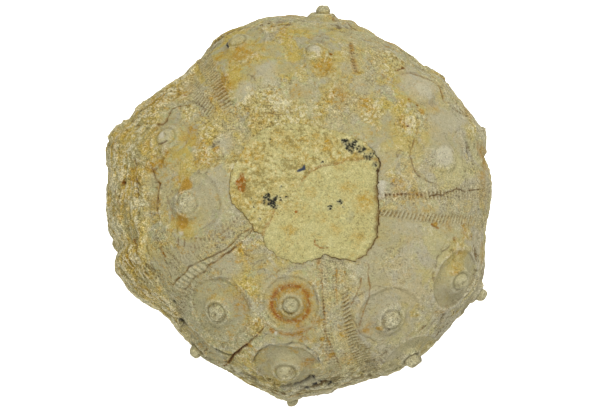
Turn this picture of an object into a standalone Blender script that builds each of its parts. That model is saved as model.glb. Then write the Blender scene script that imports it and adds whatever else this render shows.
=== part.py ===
"""Fossil sea urchin: the shell of a cidaroid urchin, 44 mm across, lying on its mouth side.

The shell (the test) is one solid with a hole at each pole. The rock that filled it
shows in both holes, so it is one column that stands in the shell with a hairline gap.
The shell's surface is a flattened ball. Points on a unit sphere are laid out in rings
round each spine boss and in rows along the tube-foot bands, their convex hull gives the
triangles, and sculpt() then moves each point out to the real surface.

Longitude is in degrees counterclockwise about +Z from +X. Tilt is in degrees from +Z:
0 at the upper pole, 90 at the widest girdle, 180 at the lower pole.
"""

import bmesh
import bpy
import numpy as np

MM = 0.001

# The ball that the shell is drawn on
GIRDLE_RADIUS = 21.7 * MM
CROWN_HEIGHT = 15.5 * MM  # girdle up to the upper face
UNDERSIDE_DEPTH = 13.5 * MM  # girdle down to the lower face
SQUARENESS = 2.6  # exponent of the side profile, where 2 is an ellipse

# Outline of the girdle from above: longitude, radius in mm. It has five lobes, with a
# dip at each tube-foot band, and it is fullest on the left, where rock clings to it.
GIRDLE_OUTLINE = [
    (0, 21.8), (10, 21.9), (24, 22.5), (40, 22.0), (56, 21.7), (67, 21.9), (80, 22.5),
    (92, 22.2), (104, 22.1), (113, 22.2), (122, 21.5), (131, 20.5), (140, 21.2),
    (150, 22.3), (160, 23.2), (170, 22.2), (181, 21.8), (190, 21.3), (200, 21.6),
    (210, 20.4), (220, 19.8), (231, 20.2), (245, 20.1), (258, 21.0), (270, 21.5),
    (281, 21.2), (290, 20.9), (300, 21.3), (315, 21.6), (330, 21.6), (340, 22.0),
    (351, 21.3),
]

# Tube-foot bands (ambulacra): longitude of the midline at each tilt of BAND_TILTS
BAND_TILTS = (30, 50, 70, 90, 150)
BANDS = [
    (-7, -4, -1, 0, 0),
    (63, 66, 69, 70, 70),
    (139, 132, 128, 127, 133),
    (209, 212, 216, 218, 216),
    (292, 285, 286, 288, 287),
]
# Tilt, half width in mm
BAND_HALF_WIDTH = [(0, 1.2), (30, 1.3), (50, 1.9), (70, 2.4), (90, 2.6), (120, 2.2), (150, 1.4), (180, 1.2)]
BAND_DEPTH = 0.40 * MM
BAND_RIDGE = 0.30 * MM  # the middle of a band, above its two sunk pore rows

# Spine bosses (primary tubercles): longitude, tilt, radius of the smooth ring round the
# boss in mm, and wear, from 0 for a whole boss to 1 for one worn to a low mound
BOSSES = [
    (17, 51, 3.7, 0.85), (42, 58, 3.3, 0.75), (20, 79, 3.3, 0.9), (46, 84, 3.1, 0.9),
    (20, 105, 3.0, 0.3), (46, 109, 2.9, 0.2), (21, 128, 2.3, 0.2), (46, 131, 2.2, 0.2),
    (85, 52.5, 3.4, 0.45), (84, 77, 3.1, 0), (112, 63, 3.3, 0.2), (108, 88, 3.0, 0.9),
    (85, 103, 3.0, 0.3), (109, 112, 2.8, 0.2), (88, 126, 2.3, 0.2), (110, 134, 2.1, 0.2),
    (156, 53, 3.6, 0.55), (184, 42, 3.7, 0.8), (157, 80, 3.0, 0.8), (188, 70, 3.0, 0.9),
    (160, 105, 2.9, 0.4), (190, 98, 3.0, 0.5), (162, 127, 2.3, 0.3), (188, 122, 2.5, 0.3),
    (233.5, 52.5, 3.8, 0), (264, 40.5, 3.15, 0), (264, 62.5, 4.1, 0), (234, 76, 3.2, 0),
    (267, 101, 2.9, 0), (240, 108, 2.7, 0.2), (265, 120, 2.4, 0.2), (240, 129, 2.2, 0.2),
    (264, 137, 1.9, 0.2),
    (305.5, 54, 4.1, 0), (331.5, 62, 3.5, 0.1), (305, 75, 3.5, 0), (334, 84, 3.2, 0.1),
    (308, 103, 3.0, 0.1), (333, 109, 2.9, 0.2), (310, 127, 2.3, 0.2), (332, 132, 2.1, 0.2),
]
# Plates next to the upper hole that never grew a boss: longitude, tilt
BARE_PLATES = [
    (42, 38), (12, 32), (81, 40), (110, 42), (160, 36), (188, 24), (236, 31), (262, 22),
    (334, 42), (307, 33),
]

# Section through a boss, in radii of its ring: spacing of the points, true distance
# from the axis, height. From the ball's top, round the ball and under it to the
# platform, down the cone, over the smooth ring and up its rim.
BOSS_SECTION = [
    (0.00, 0.00, 0.41), (0.15, 0.18, 0.355), (0.25, 0.255, 0.23), (0.33, 0.225, 0.135),
    (0.41, 0.36, 0.12), (0.62, 0.60, -0.07), (0.90, 0.90, -0.08), (1.06, 1.06, 0.055),
    (1.30, 1.30, 0.00),
]
PLATFORM_HEIGHT = 0.135
# Spacing and number of points of each ring. Neighbouring rings have their points in line.
BOSS_RINGS = [(0.15, 6), (0.25, 12), (0.33, 12), (0.41, 12), (0.62, 12), (0.90, 12), (1.06, 12)]
LOW_BOSS_RINGS = [(0.25, 9), (0.33, 9), (0.41, 9), (0.62, 9), (0.90, 9), (1.06, 9)]
LOW_BOSS_TILT = 100  # bosses below this tilt have fewer points

SUTURE_DEPTH = 0.35 * MM  # between plates
SUTURE_WIDTH = 1.3 * MM
SWELLING = 0.18 * MM  # slow unevenness of the whole shell

# Rock clinging to the left side, outside the shell
CRUST_MIDDLE = 182  # longitude
CRUST_REACH = 36  # degrees either way
CRUST_TILT = 60  # where it starts, down from the upper pole
CRUST_THICKNESS = 0.55 * MM

# Upper hole, about its own centre: longitude, radius in mm
UPPER_HOLE_CENTRE = (0.3 * MM, 0.05 * MM)
UPPER_HOLE = [
    (7, 7.8), (19, 8.5), (31, 8.8), (41, 8.6), (53, 8.0), (69, 7.5), (86, 7.6), (103, 7.8),
    (124, 8.4), (140, 8.3), (154, 8.2), (170, 8.4), (181, 8.2), (190, 7.8), (200, 6.9),
    (211, 6.7), (217, 6.9), (223, 6.4), (231, 7.1), (241, 7.3), (252, 7.5), (264, 7.7),
    (274, 7.3), (283, 7.1), (289, 6.9), (295, 7.9), (306, 9.1), (317, 9.3), (328, 9.0),
    (339, 8.4), (352, 8.0),
]
LOWER_HOLE_RADIUS = 7.8 * MM
LOWER_HOLE_LOBES = 0.5 * MM  # it is slightly five-sided
GAP = 0.3 * MM  # between shell and rock

ROCK_PROUD = 0.35 * MM  # how far the rock stands out of the lower hole
REST_FACE_SHARE = 0.84  # radius of the flat it rests on, as a share of the lower hole
REST_EDGE = 0.5 * MM  # height of the slope round that flat
ROCK_EDGE = 0.3 * MM  # how far its worn upper edge drops
ROCK_TOP_RINGS = (0.30, 0.62, 0.88, 0.97)  # shares of the upper hole's radius
SHAFT_SHARE = 0.75  # the column changes from the upper to the lower outline within this share of the height

FREE_POINT_SPACING = 1.6 * MM
BAND_POINT_SPACING = 1.7 * MM


def smooth_between(x, low, high):
    """0 below low, 1 above high, an S-curve between."""
    t = np.clip((x - low) / (high - low), 0, 1)
    return t * t * (3 - 2 * t)


def curve_through(knots, x, period=None):
    """A smooth curve through (x, y) knots, with each knot's slope taken from its neighbours."""
    xs, ys = np.array(knots, float).T
    if period:
        x = np.mod(x, period)
        xs = np.concatenate([xs - period, xs, xs + period])
        ys = np.tile(ys, 3)
    slopes = np.gradient(ys, xs)
    i = np.clip(np.searchsorted(xs, x, side="right") - 1, 0, len(xs) - 2)
    step = xs[i + 1] - xs[i]
    t = np.clip((x - xs[i]) / step, 0, 1)
    start = (1 + 2 * t) * (1 - t) ** 2 * ys[i] + t * (1 - t) ** 2 * step * slopes[i]
    end = t * t * (3 - 2 * t) * ys[i + 1] - t * t * (1 - t) * step * slopes[i + 1]
    return start + end


def direction(longitude, tilt):
    lon, til = np.radians(longitude), np.radians(tilt)
    return np.stack([np.sin(til) * np.cos(lon), np.sin(til) * np.sin(lon), np.cos(til) + 0 * lon], -1)


def unit(vectors):
    return vectors / np.linalg.norm(vectors, axis=-1, keepdims=True)


def longitude_and_tilt(directions):
    x, y, z = directions.T
    return np.degrees(np.arctan2(y, x)) % 360, np.degrees(np.arccos(np.clip(z, -1, 1)))


def ball_point(directions):
    """The smooth ball: a flattened superellipsoid whose girdle follows GIRDLE_OUTLINE."""
    longitude, _ = longitude_and_tilt(directions)
    across = np.hypot(directions[:, 0], directions[:, 1])
    outline = curve_through(GIRDLE_OUTLINE, longitude, 360) * MM
    radius = GIRDLE_RADIUS + (outline - GIRDLE_RADIUS) * across**1.5
    height = np.where(directions[:, 2] > 0, CROWN_HEIGHT, UNDERSIDE_DEPTH)
    reach = (across / radius) ** SQUARENESS + (np.abs(directions[:, 2]) / height) ** SQUARENESS
    return directions * (reach ** (-1 / SQUARENESS))[:, None]


def ball_normal(points):
    across = np.hypot(points[:, 0], points[:, 1])
    height = np.where(points[:, 2] > 0, CROWN_HEIGHT, UNDERSIDE_DEPTH)
    sideways = across ** (SQUARENESS - 2) / GIRDLE_RADIUS**SQUARENESS
    upwards = np.abs(points[:, 2]) ** (SQUARENESS - 2) / height**SQUARENESS
    return unit(points * np.stack([sideways, sideways, upwards], -1))


def band_place(points):
    """Where each point lies across the nearest tube-foot band: 0 at its midline, 1 at its edge."""
    longitude, tilt = longitude_and_tilt(unit(points))
    half_width = curve_through(BAND_HALF_WIDTH, tilt) * MM
    across = np.hypot(points[:, 0], points[:, 1])
    nearest = np.full(len(points), 99.0)
    for midline in BANDS:
        turn = (longitude - np.interp(tilt, BAND_TILTS, midline) + 180) % 360 - 180
        place = np.radians(turn) * across / half_width
        nearest = np.where(np.abs(place) < np.abs(nearest), place, nearest)
    return nearest


def plate_centres():
    spots = [(lon, tilt) for lon, tilt, _, _ in BOSSES] + BARE_PLATES
    return ball_point(direction(*np.array(spots, float).T))


def suture_nearness(points, centres):
    """1 on the line halfway between two plate centres, 0 in the middle of a plate."""
    away = np.sort(np.linalg.norm(points[:, None] - centres[None], axis=-1), axis=1)
    return 1 - smooth_between(away[:, 1] - away[:, 0], 0, SUTURE_WIDTH)


def relief(points, centres):
    """Height of the shell above the ball, apart from its bosses."""
    place = np.abs(band_place(points))
    between = smooth_between(place, 0.95, 1.25)
    height = -SUTURE_DEPTH * suture_nearness(points, centres) * between
    height += -BAND_DEPTH * (1 - between) + BAND_RIDGE * (1 - smooth_between(place, 0.15, 0.55))
    waves = points / GIRDLE_RADIUS
    height += SWELLING * np.sin(3.1 * waves[:, 0] + 1.7 * waves[:, 2]) * np.cos(3.7 * waves[:, 1] - 0.8)
    longitude, tilt = longitude_and_tilt(unit(points))
    aside = np.abs((longitude - CRUST_MIDDLE + 180) % 360 - 180)
    edge = CRUST_TILT + 4 * np.sin(np.radians(longitude * 7))
    crust = (1 - smooth_between(aside, CRUST_REACH - 8, CRUST_REACH)) * smooth_between(tilt, edge, edge + 6)
    return height + CRUST_THICKNESS * crust * (1 - smooth_between(tilt, 105, 120))


def sculpt(directions):
    """Moves points of the unit sphere out to the shell's surface."""
    spacing, true_distance, section_height = np.array(BOSS_SECTION).T
    start = ball_point(directions)
    moved = directions.copy()
    boss_height = np.zeros(len(directions))
    boss_axis = np.zeros_like(directions)
    bossed = np.zeros(len(directions))
    nearest = np.full(len(directions), spacing[-1])
    for lon, tilt, ring, wear in BOSSES:
        ring = ring * MM
        centre = ball_point(direction(np.array([lon]), np.array([tilt])))[0]
        axis = ball_normal(centre[None])[0]
        away = start - centre
        along = away @ axis
        flat = away - along[:, None] * axis
        apart = np.linalg.norm(flat, axis=1) / ring
        mine = (apart < nearest) & (np.abs(along) < 1.5 * ring)
        nearest = np.where(mine, apart, nearest)
        reach = np.interp(apart, spacing, true_distance)
        stretched = unit(centre + flat * (reach / np.maximum(apart, 1e-9))[:, None])
        height = np.interp(apart, spacing, section_height)
        above = np.maximum(height - PLATFORM_HEIGHT, 0)
        height = np.where(above > 0, PLATFORM_HEIGHT + above * (1 - wear), height) * (1 - 0.35 * wear)
        moved = np.where(mine[:, None], stretched, moved)
        boss_height = np.where(mine, height * ring, boss_height)
        boss_axis = np.where(mine[:, None], axis, boss_axis)
        bossed = np.where(mine, 1 - smooth_between(apart, 0.9, 1.3), bossed)
    points = ball_point(moved)
    normals = ball_normal(points)
    lift = relief(points, plate_centres()) * (1 - bossed)
    turned = unit(boss_axis * bossed[:, None] + normals * (1 - bossed)[:, None])
    return points + normals * lift[:, None] + turned * boss_height[:, None]


def boss_points():
    """Rings of points round each boss. Where two bosses meet, each keeps the side nearer to it."""
    found = []
    shares = []
    for lon, tilt, ring, _ in BOSSES:
        centre = ball_point(direction(np.array([lon]), np.array([tilt])))[0]
        axis = ball_normal(centre[None])[0]
        side = unit(np.cross(axis, (0.3, 0.1, 0.9)))
        other = np.cross(axis, side)
        found.append(centre)
        shares.append(0.0)
        for share, count in BOSS_RINGS if tilt < LOW_BOSS_TILT else LOW_BOSS_RINGS:
            turns = np.arange(count) * 2 * np.pi / count
            reach = share * ring * MM
            spots = centre + reach * (np.cos(turns)[:, None] * side + np.sin(turns)[:, None] * other)
            found.extend(ball_point(unit(spots)))
            shares.extend([share] * count)
    places = np.array(found)
    centres = ball_point(direction(*np.array([boss[:2] for boss in BOSSES], float).T))
    sizes = np.array([boss[2] for boss in BOSSES]) * MM
    nearest = (np.linalg.norm(places[:, None] - centres[None], axis=-1) / sizes).min(axis=1)
    return places[nearest > np.array(shares) - 0.12]


def band_points():
    """Rows of points along the edges, the pore rows and the middle of each band."""
    rows = []
    quarter = GIRDLE_RADIUS * np.pi / 2
    tilts = np.arange(20, 160, np.degrees(BAND_POINT_SPACING / quarter * np.pi / 2))
    half_width = curve_through(BAND_HALF_WIDTH, tilts) * MM
    for midline in BANDS:
        middle = np.interp(tilts, BAND_TILTS, midline)
        across = np.hypot(*ball_point(direction(middle, tilts))[:, :2].T)
        for place in (-1.2, -0.72, 0.0, 0.72, 1.2):
            rows.append(ball_point(direction(middle + np.degrees(place * half_width / across), tilts)))
    return np.concatenate(rows)


def free_points():
    """Evenly spread points over the whole ball, on a sunflower spiral."""
    count = int(4 * np.pi * (18.5 * MM) ** 2 / FREE_POINT_SPACING**2)
    steps = np.arange(count) + 0.5
    tilt = np.degrees(np.arccos(1 - 2 * steps / count))
    return ball_point(direction(steps * 137.508, tilt))


def keep_apart(kept, added, distance):
    """The added points that lie further than distance from every kept one."""
    clear = np.array([np.linalg.norm(kept - point, axis=1).min() > distance for point in added])
    return np.concatenate([kept, added[clear]])


def shell_directions():
    points = boss_points()
    points = keep_apart(points, band_points(), 0.75 * MM)
    points = keep_apart(points, free_points(), 0.62 * FREE_POINT_SPACING)
    return unit(points)


def material(name, colour, roughness):
    made = bpy.data.materials.new(name)
    made.use_nodes = True
    shader = made.node_tree.nodes["Principled BSDF"]
    shader.inputs["Base Color"].default_value = (*colour, 1.0)
    shader.inputs["Roughness"].default_value = roughness
    return made


def mesh_object(name, mesh_maker, look):
    bm = bmesh.new()
    mesh_maker(bm)
    bmesh.ops.recalc_face_normals(bm, faces=bm.faces)
    mesh = bpy.data.meshes.new(name)
    bm.to_mesh(mesh)
    bm.free()
    mesh.materials.append(look)
    made = bpy.data.objects.new(name, mesh)
    bpy.context.scene.collection.objects.link(made)
    return made


def build_shell(bm):
    directions = shell_directions()
    vertices = [bm.verts.new(d) for d in directions]
    bmesh.ops.convex_hull(bm, input=vertices)
    at = np.array([v.co for v in bm.verts])
    for vertex, place in zip(bm.verts, sculpt(unit(at))):
        vertex.co = place


def hole_loop(level, shift):
    """One loop of the column through both holes: level is 0 at the upper hole and 1 at the lower."""
    longitudes = np.array([lon for lon, _ in UPPER_HOLE], float)
    upper = np.array([radius for _, radius in UPPER_HOLE]) * MM
    lower = LOWER_HOLE_RADIUS + LOWER_HOLE_LOBES * np.cos(np.radians(5 * (longitudes - 36)))
    radius = upper + (lower - upper) * level + shift
    turn = np.radians(longitudes)
    centre = np.array(UPPER_HOLE_CENTRE) * (1 - level)
    return np.stack([centre[0] + radius * np.cos(turn), centre[1] + radius * np.sin(turn)], -1)


def add_loops(bm, loops):
    """Joins a stack of closed loops, top to bottom, with a fan of faces at each end."""
    rows = [[bm.verts.new(point) for point in loop] for loop in loops]
    for upper, lower in zip(rows, rows[1:]):
        for i in range(len(upper)):
            j = (i + 1) % len(upper)
            bm.faces.new((upper[i], lower[i], lower[j], upper[j]))
    for loop, end in ((loops[0], rows[0]), (loops[-1], rows[-1])):
        middle = bm.verts.new(np.mean(loop, axis=0))
        for i in range(len(end)):
            bm.faces.new((end[i], end[(i + 1) % len(end)], middle))


def level_loop(loop, z):
    return np.column_stack([loop, np.full(len(loop), z)])


def build_hole_cutter(bm):
    above, below = CROWN_HEIGHT, -UNDERSIDE_DEPTH
    for_level = [(0, 1.5 * above), (0, SHAFT_SHARE * above), (1, SHAFT_SHARE * below), (1, 1.5 * below)]
    add_loops(bm, [level_loop(hole_loop(level, 0.5 * GAP), z) for level, z in for_level])


def rock_top(spots):
    """Height of the rock in the upper hole: level with the shell, on two slightly tilted ledges."""
    x, y = spots.T / MM
    across = np.hypot(x, y) * MM / GIRDLE_RADIUS
    dome = CROWN_HEIGHT * (1 - across**SQUARENESS) ** (1 / SQUARENESS)
    ledge = smooth_between(-y + 0.35 * x, -2.4, -1.6)
    return dome + MM * (0.10 + 0.22 * ledge + 0.08 * np.sin(0.9 * x + 0.4) * np.cos(0.8 * y))


def build_rock(bm):
    rim = hole_loop(0, -0.5 * GAP)
    foot = hole_loop(1, -0.5 * GAP)
    centre = np.array(UPPER_HOLE_CENTRE)
    rest = -UNDERSIDE_DEPTH - ROCK_PROUD
    loops = []
    for share in ROCK_TOP_RINGS:
        spots = centre + (rim - centre) * share
        loops.append(np.column_stack([spots, rock_top(spots)]))
    loops.append(np.column_stack([rim, rock_top(rim) - ROCK_EDGE]))
    loops.append(level_loop(rim, SHAFT_SHARE * CROWN_HEIGHT))
    loops.append(level_loop(foot, -SHAFT_SHARE * UNDERSIDE_DEPTH))
    loops.append(level_loop(foot, rest + REST_EDGE))
    loops.append(level_loop(foot * REST_FACE_SHARE, rest))
    add_loops(bm, loops)


def centre_on_origin(objects, measured):
    """Stands the urchin on the origin: its box centred in X and Y, its rest face at Z = 0."""
    corners = np.array([v.co for v in measured.data.vertices])
    middle = (corners.min(0) + corners.max(0)) / 2
    shift = np.array([-middle[0], -middle[1], UNDERSIDE_DEPTH + ROCK_PROUD])
    for each in objects:
        for vertex in each.data.vertices:
            vertex.co = np.array(vertex.co) + shift


def main():
    for old in list(bpy.data.objects):
        bpy.data.objects.remove(old)
    calcite = material("shell_calcite", (0.43, 0.37, 0.22), 0.85)
    limestone = material("fill_limestone", (0.50, 0.44, 0.20), 0.92)
    shell = mesh_object("test", build_shell, calcite)
    cutter = mesh_object("hole_cutter", build_hole_cutter, calcite)
    cutter.hide_render = True
    cutter.display_type = "WIRE"
    rock = mesh_object("sediment_fill", build_rock, limestone)
    centre_on_origin([shell, cutter, rock], shell)
    cut = shell.modifiers.new("holes", "BOOLEAN")
    cut.operation = "DIFFERENCE"
    cut.object = cutter


main()
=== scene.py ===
import math
from types import SimpleNamespace

import bpy
import numpy as np
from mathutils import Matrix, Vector


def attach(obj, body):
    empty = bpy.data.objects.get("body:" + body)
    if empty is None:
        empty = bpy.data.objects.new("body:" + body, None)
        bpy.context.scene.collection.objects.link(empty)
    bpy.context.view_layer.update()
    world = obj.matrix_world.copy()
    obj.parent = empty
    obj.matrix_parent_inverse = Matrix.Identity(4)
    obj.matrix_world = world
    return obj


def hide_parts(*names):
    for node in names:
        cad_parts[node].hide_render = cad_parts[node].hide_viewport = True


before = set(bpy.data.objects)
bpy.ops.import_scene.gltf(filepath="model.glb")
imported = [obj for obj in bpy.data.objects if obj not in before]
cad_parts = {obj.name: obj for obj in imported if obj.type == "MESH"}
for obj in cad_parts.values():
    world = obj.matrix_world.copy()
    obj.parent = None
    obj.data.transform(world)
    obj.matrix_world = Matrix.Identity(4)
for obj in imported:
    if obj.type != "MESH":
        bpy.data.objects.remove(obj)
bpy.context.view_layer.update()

# Lengths are millimetres and angles degrees, in the shell's own space: the pole axis is Z and the
# girdle is at height 0. toFrame() moves a finished surface to the frame and turns it into metres.
# longitude runs counterclockwise from +X, tilt runs down from the upper pole.

shell = dict(
    poleX=0.408, poleY=-0.430, girdleZ=13.85,  # where the shell's own space stands in the frame
    girdleRadius=21.7, crownHeight=15.5, undersideDepth=13.5, squareness=2.6,
    girdleOutline=[  # longitude, radius
        (0, 21.45), (6, 21.9), (12, 21.75), (18, 21.7), (24, 22.5), (30, 22.1), (36, 21.95), (42, 22.0),
        (48, 21.5), (56, 21.75), (67, 21.95), (73, 22.35), (80, 22.4), (85, 22.3), (92, 22.3), (102, 22.4),
        (108, 22.05), (113, 22.1), (120, 21.5), (126, 20.5), (131, 20.0), (138, 20.45), (144, 21.1),
        (150, 21.7), (156, 22.2), (160, 22.95), (170, 22.0), (181, 21.8), (186, 21.6), (192, 20.95),
        (198, 21.95), (201, 21.6), (205, 21.1), (210, 20.4), (216, 19.3), (222, 19.15), (228, 19.5),
        (234, 20.1), (245, 20.1), (252, 20.5), (258, 21.0), (264, 21.6), (270, 21.2), (276, 21.1),
        (282, 21.0), (290, 20.8), (294, 21.1), (300, 21.3), (306, 21.3), (315, 21.6), (324, 21.6),
        (330, 21.8), (336, 22.1), (342, 21.8), (348, 21.3), (354, 21.2),
    ],
    holeCentre=(0.3, 0.05),
    holeOutline=[  # longitude about the hole's centre, radius
        (7, 7.88), (18, 8.34), (21, 8.84), (31, 8.88), (41, 8.64), (53, 8.09), (69, 7.5), (86, 7.6),
        (102, 7.84), (124, 8.45), (136, 8.44), (145, 8.31), (153, 8.22), (162, 8.4), (170, 8.33),
        (181, 8.2), (188, 7.94), (195, 7.25), (201, 6.9), (210, 6.68), (217, 6.84), (223, 6.39),
        (229, 6.78), (234, 7.25), (240, 7.17), (248, 7.51), (253, 7.39), (260, 7.62), (266, 7.62),
        (274, 7.3), (283, 7.13), (289, 6.89), (293, 7.5), (301, 8.28), (306, 9.05), (315, 9.3), (328, 9.1),
        (336, 8.63), (344, 8.37), (355, 7.95),
    ],
    lowerHoleRadius=7.8, lowerHoleLobes=0.5,
    crackWidth=[  # longitude, width of the crack between rock and shell
        (0, 0.14), (20, 0.12), (32, 0.03), (45, -0.02), (65, -0.04), (90, -0.05), (120, -0.05),
        (150, -0.03), (172, 0.04), (200, 0.06), (225, 0.06), (260, 0.05), (300, 0.07), (330, 0.14),
    ],
    rockProud=0.35,
)

bosses = [  # longitude, tilt, radius of the smooth ring, wear 0..1, how clear its outer edge is, oval
    (16.5, 53, 3.7, 0.9, 0.18), (42.5, 59, 3.3, 0.9, 0.2, 0.9), (20, 79, 3.3, 0.8, 0.4),
    (46, 84, 3.1, 0.9, 0.4), (20, 105, 3.0, 0.3, 0.7), (46, 109, 2.9, 0.2, 0.7), (21, 128, 2.3, 0.2, 0.7),
    (46, 131, 2.2, 0.2, 0.7), (85, 52.5, 3.2, 0.62, 0.3), (84, 77, 3.5, 0.1, 0.6),
    (112, 63, 3.3, 0.5, 0.35), (108, 88, 3.0, 0.9, 0.4), (85, 103, 3.0, 0.3, 0.7),
    (109, 112, 2.8, 0.2, 0.7), (88, 126, 2.3, 0.2, 0.7), (110, 134, 2.1, 0.2, 0.7),
    (156, 53, 3.6, 0.6, 0.25), (184, 42, 3.7, 0.7, 0.4), (157, 80, 3.0, 0.8, 0.3), (188, 70, 3.0, 0.9, 0.3),
    (160, 105, 2.9, 0.4, 0.6), (190, 98, 3.0, 0.5, 0.5), (162, 127, 2.3, 0.3, 0.7),
    (188, 122, 2.5, 0.3, 0.7), (233.5, 52.5, 3.7, 0.38, 0.6), (264, 40.5, 3.15, 0.38, 0.6),
    (264.5, 63, 3.9, 0.42, 1.1, 0.88), (234, 76, 3.2, 0, 0.7), (267, 101, 2.9, 0, 0.8),
    (240, 108, 2.7, 0.2, 0.7), (265, 120, 2.4, 0.2, 0.7), (240, 129, 2.2, 0.2, 0.7),
    (264, 137, 1.9, 0.2, 0.7), (306, 54.3, 3.75, 0.5, 0.45, 0.95), (332.8, 64, 3.5, 0.35, 1.0, 0.95),
    (305, 75, 3.5, 0, 0.8), (334, 84, 3.2, 0.1, 0.7), (308, 103, 3.0, 0.1, 0.8), (333, 109, 2.9, 0.2, 0.7),
    (310, 127, 2.3, 0.2, 0.7), (332, 132, 2.1, 0.2, 0.7),
]
barePlates = [  # longitude, tilt of plates without a boss
    (42, 38), (12, 32), (81, 40), (110, 42), (160, 36), (188, 24), (236, 31), (262, 22), (334, 42),
    (307, 33),
]

# Section of a boss in radii of its ring: spacing, true distance from the axis, height
bossSection = np.array([
    (0.000, 0.000, 0.320), (0.040, 0.045, 0.322), (0.065, 0.085, 0.390), (0.105, 0.130, 0.402),
    (0.150, 0.175, 0.368), (0.190, 0.208, 0.312), (0.230, 0.229, 0.255), (0.260, 0.234, 0.210),
    (0.290, 0.226, 0.165), (0.320, 0.218, 0.130), (0.345, 0.232, 0.110), (0.370, 0.280, 0.122),
    (0.410, 0.350, 0.130), (0.435, 0.380, 0.116), (0.470, 0.420, 0.070), (0.530, 0.490, -0.010),
    (0.600, 0.575, -0.075), (0.660, 0.650, -0.100), (0.780, 0.780, -0.110), (0.900, 0.900, -0.088),
    (0.955, 0.955, -0.040), (1.000, 1.000, 0.040), (1.050, 1.050, 0.064), (1.120, 1.120, 0.046),
    (1.200, 1.200, 0.016), (1.300, 1.300, 0.000),
])
wornTo = 0.118  # height that a fully worn knob is worn down to, in the same radii

bandTilts = (30, 50, 70, 90, 150)
bands = dict(  # longitude of the midline at each tilt of bandTilts
    bandRight=(-7, -4, -1, 0, 0),
    bandTopRight=(63, 66, 69, 70, 70),
    bandTopLeft=(139, 132, 128, 127, 133),
    bandLowerLeft=(209, 212, 216, 218, 216),
    bandBottom=(292, 285, 286, 288, 287),
)
bandHalfWidth = [(0, 1.2), (30, 1.3), (50, 1.9), (70, 2.4), (90, 2.6), (120, 2.2), (150, 1.4), (180, 1.2)]
poreColumns = (0.58, 0.83)  # where the two rows of pores stand, in half widths of the band
holeGap = 0.15  # from the lower hole's outline to the rock and to the shell
plateFields = dict(  # plates between two bands: the band before, the band after
    platesRight=("bandRight", "bandTopRight"),
    platesTop=("bandTopRight", "bandTopLeft"),
    platesLeft=("bandTopLeft", "bandLowerLeft"),
    platesFront=("bandLowerLeft", "bandBottom"),
    platesLowerRight=("bandBottom", "bandRight"),
)


def smoothStep(x, low, high):
    # 0 up to low and 1 from high on, with 3t^2 - 2t^3 between them
    t = np.clip((x - low) / (high - low), 0, 1)
    return t * t * (3 - 2 * t)


def bell(x, width):
    # 1 where x is 0, falling off as e^-(x / width)^2
    return np.exp(-((x / width) ** 2))


def facing(lon, toward, low, high):
    # 1 on the side that a longitude points to, fading with the cosine of the angle from it
    return smoothStep(np.cos(np.radians(lon - toward)), low, high)


def curveThrough(knots, x, period=None):
    # cubic through the knots, with each slope taken from the two neighbouring knots
    xs, ys = np.array(knots, float).T
    if period:
        x = np.mod(x, period)
        xs = np.concatenate([xs - period, xs, xs + period])
        ys = np.tile(ys, 3)
    slopes = np.gradient(ys, xs)
    i = np.clip(np.searchsorted(xs, x, side="right") - 1, 0, len(xs) - 2)
    step = xs[i + 1] - xs[i]
    t = np.clip((x - xs[i]) / step, 0, 1)
    start = (1 + 2 * t) * (1 - t) ** 2 * ys[i] + t * (1 - t) ** 2 * step * slopes[i]
    return start + t * t * (3 - 2 * t) * ys[i + 1] - t * t * (1 - t) * step * slopes[i + 1]


def latticeValue(ix, iy, iz, seed):
    # a repeatable number from 0 to 1 for each whole-number place, by mixing its digits
    h = (ix * 374761393 + iy * 668265263 + iz * 1440662683 + seed * 974711) & 0xFFFFFFFF
    h = ((h ^ (h >> 13)) * 1274126177) & 0xFFFFFFFF
    return ((h ^ (h >> 16)) & 0xFFFF) / 65535.0


def softNoise(points, size, seed):
    # smooth noise from -1 to 1: the values at a lattice's corners, blended inside each cube
    q = points / size
    low = np.floor(q).astype(np.int64)
    f = q - low
    f = f * f * (3 - 2 * f)
    total = 0
    for cx in (0, 1):
        for cy in (0, 1):
            for cz in (0, 1):
                weight = np.abs(1 - cx - f[:, 0]) * np.abs(1 - cy - f[:, 1]) * np.abs(1 - cz - f[:, 2])
                total = total + weight * latticeValue(low[:, 0] + cx, low[:, 1] + cy, low[:, 2] + cz, seed)
    return total * 2 - 1


def roughNoise(points, size, octaves, seed):
    # layers of soft noise, each half as large and little more than half as high as the last
    total, height = 0, 1.0
    for octave in range(octaves):
        total = total + height * softNoise(points, size / 2**octave, seed + 17 * octave)
        height *= 0.55
    return total / 1.6


def wander(points, amount, size, seed):
    # moves points a little by three soft noises, so that outlines drawn on them turn ragged
    shift = [softNoise(points, size, seed + k) for k in range(3)]
    return points + amount * np.stack(shift, -1)


def grainDistance(points, size, seed):
    # distance to the nearest of one random point in each cube of a lattice, in cube widths
    q = points / size
    low = np.floor(q).astype(np.int64)
    nearest = np.full(len(points), 9.0)
    for cx in (-1, 0, 1):
        for cy in (-1, 0, 1):
            for cz in (-1, 0, 1):
                cell = low + np.array((cx, cy, cz))
                ix, iy, iz = cell.T
                away = sum((cell[:, k] + latticeValue(ix, iy, iz, seed + k) - q[:, k]) ** 2 for k in range(3))
                nearest = np.minimum(nearest, away)
    return np.sqrt(nearest)


def unit(v):
    # each vector divided by its length
    return v / np.linalg.norm(v, axis=-1, keepdims=True)


def direction(lon, tilt):
    # unit vector: (sin tilt * cos longitude, sin tilt * sin longitude, cos tilt)
    a, b = np.radians(lon), np.radians(tilt)
    return np.stack([np.sin(b) * np.cos(a), np.sin(b) * np.sin(a), np.cos(b) + 0 * a], -1)


def lonTilt(v):
    # longitude and tilt of each vector, by the arc tangent of y / x and the arc cosine of z
    v = unit(v)
    lon = np.degrees(np.arctan2(v[..., 1], v[..., 0])) % 360
    return lon, np.degrees(np.arccos(np.clip(v[..., 2], -1, 1)))


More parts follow.
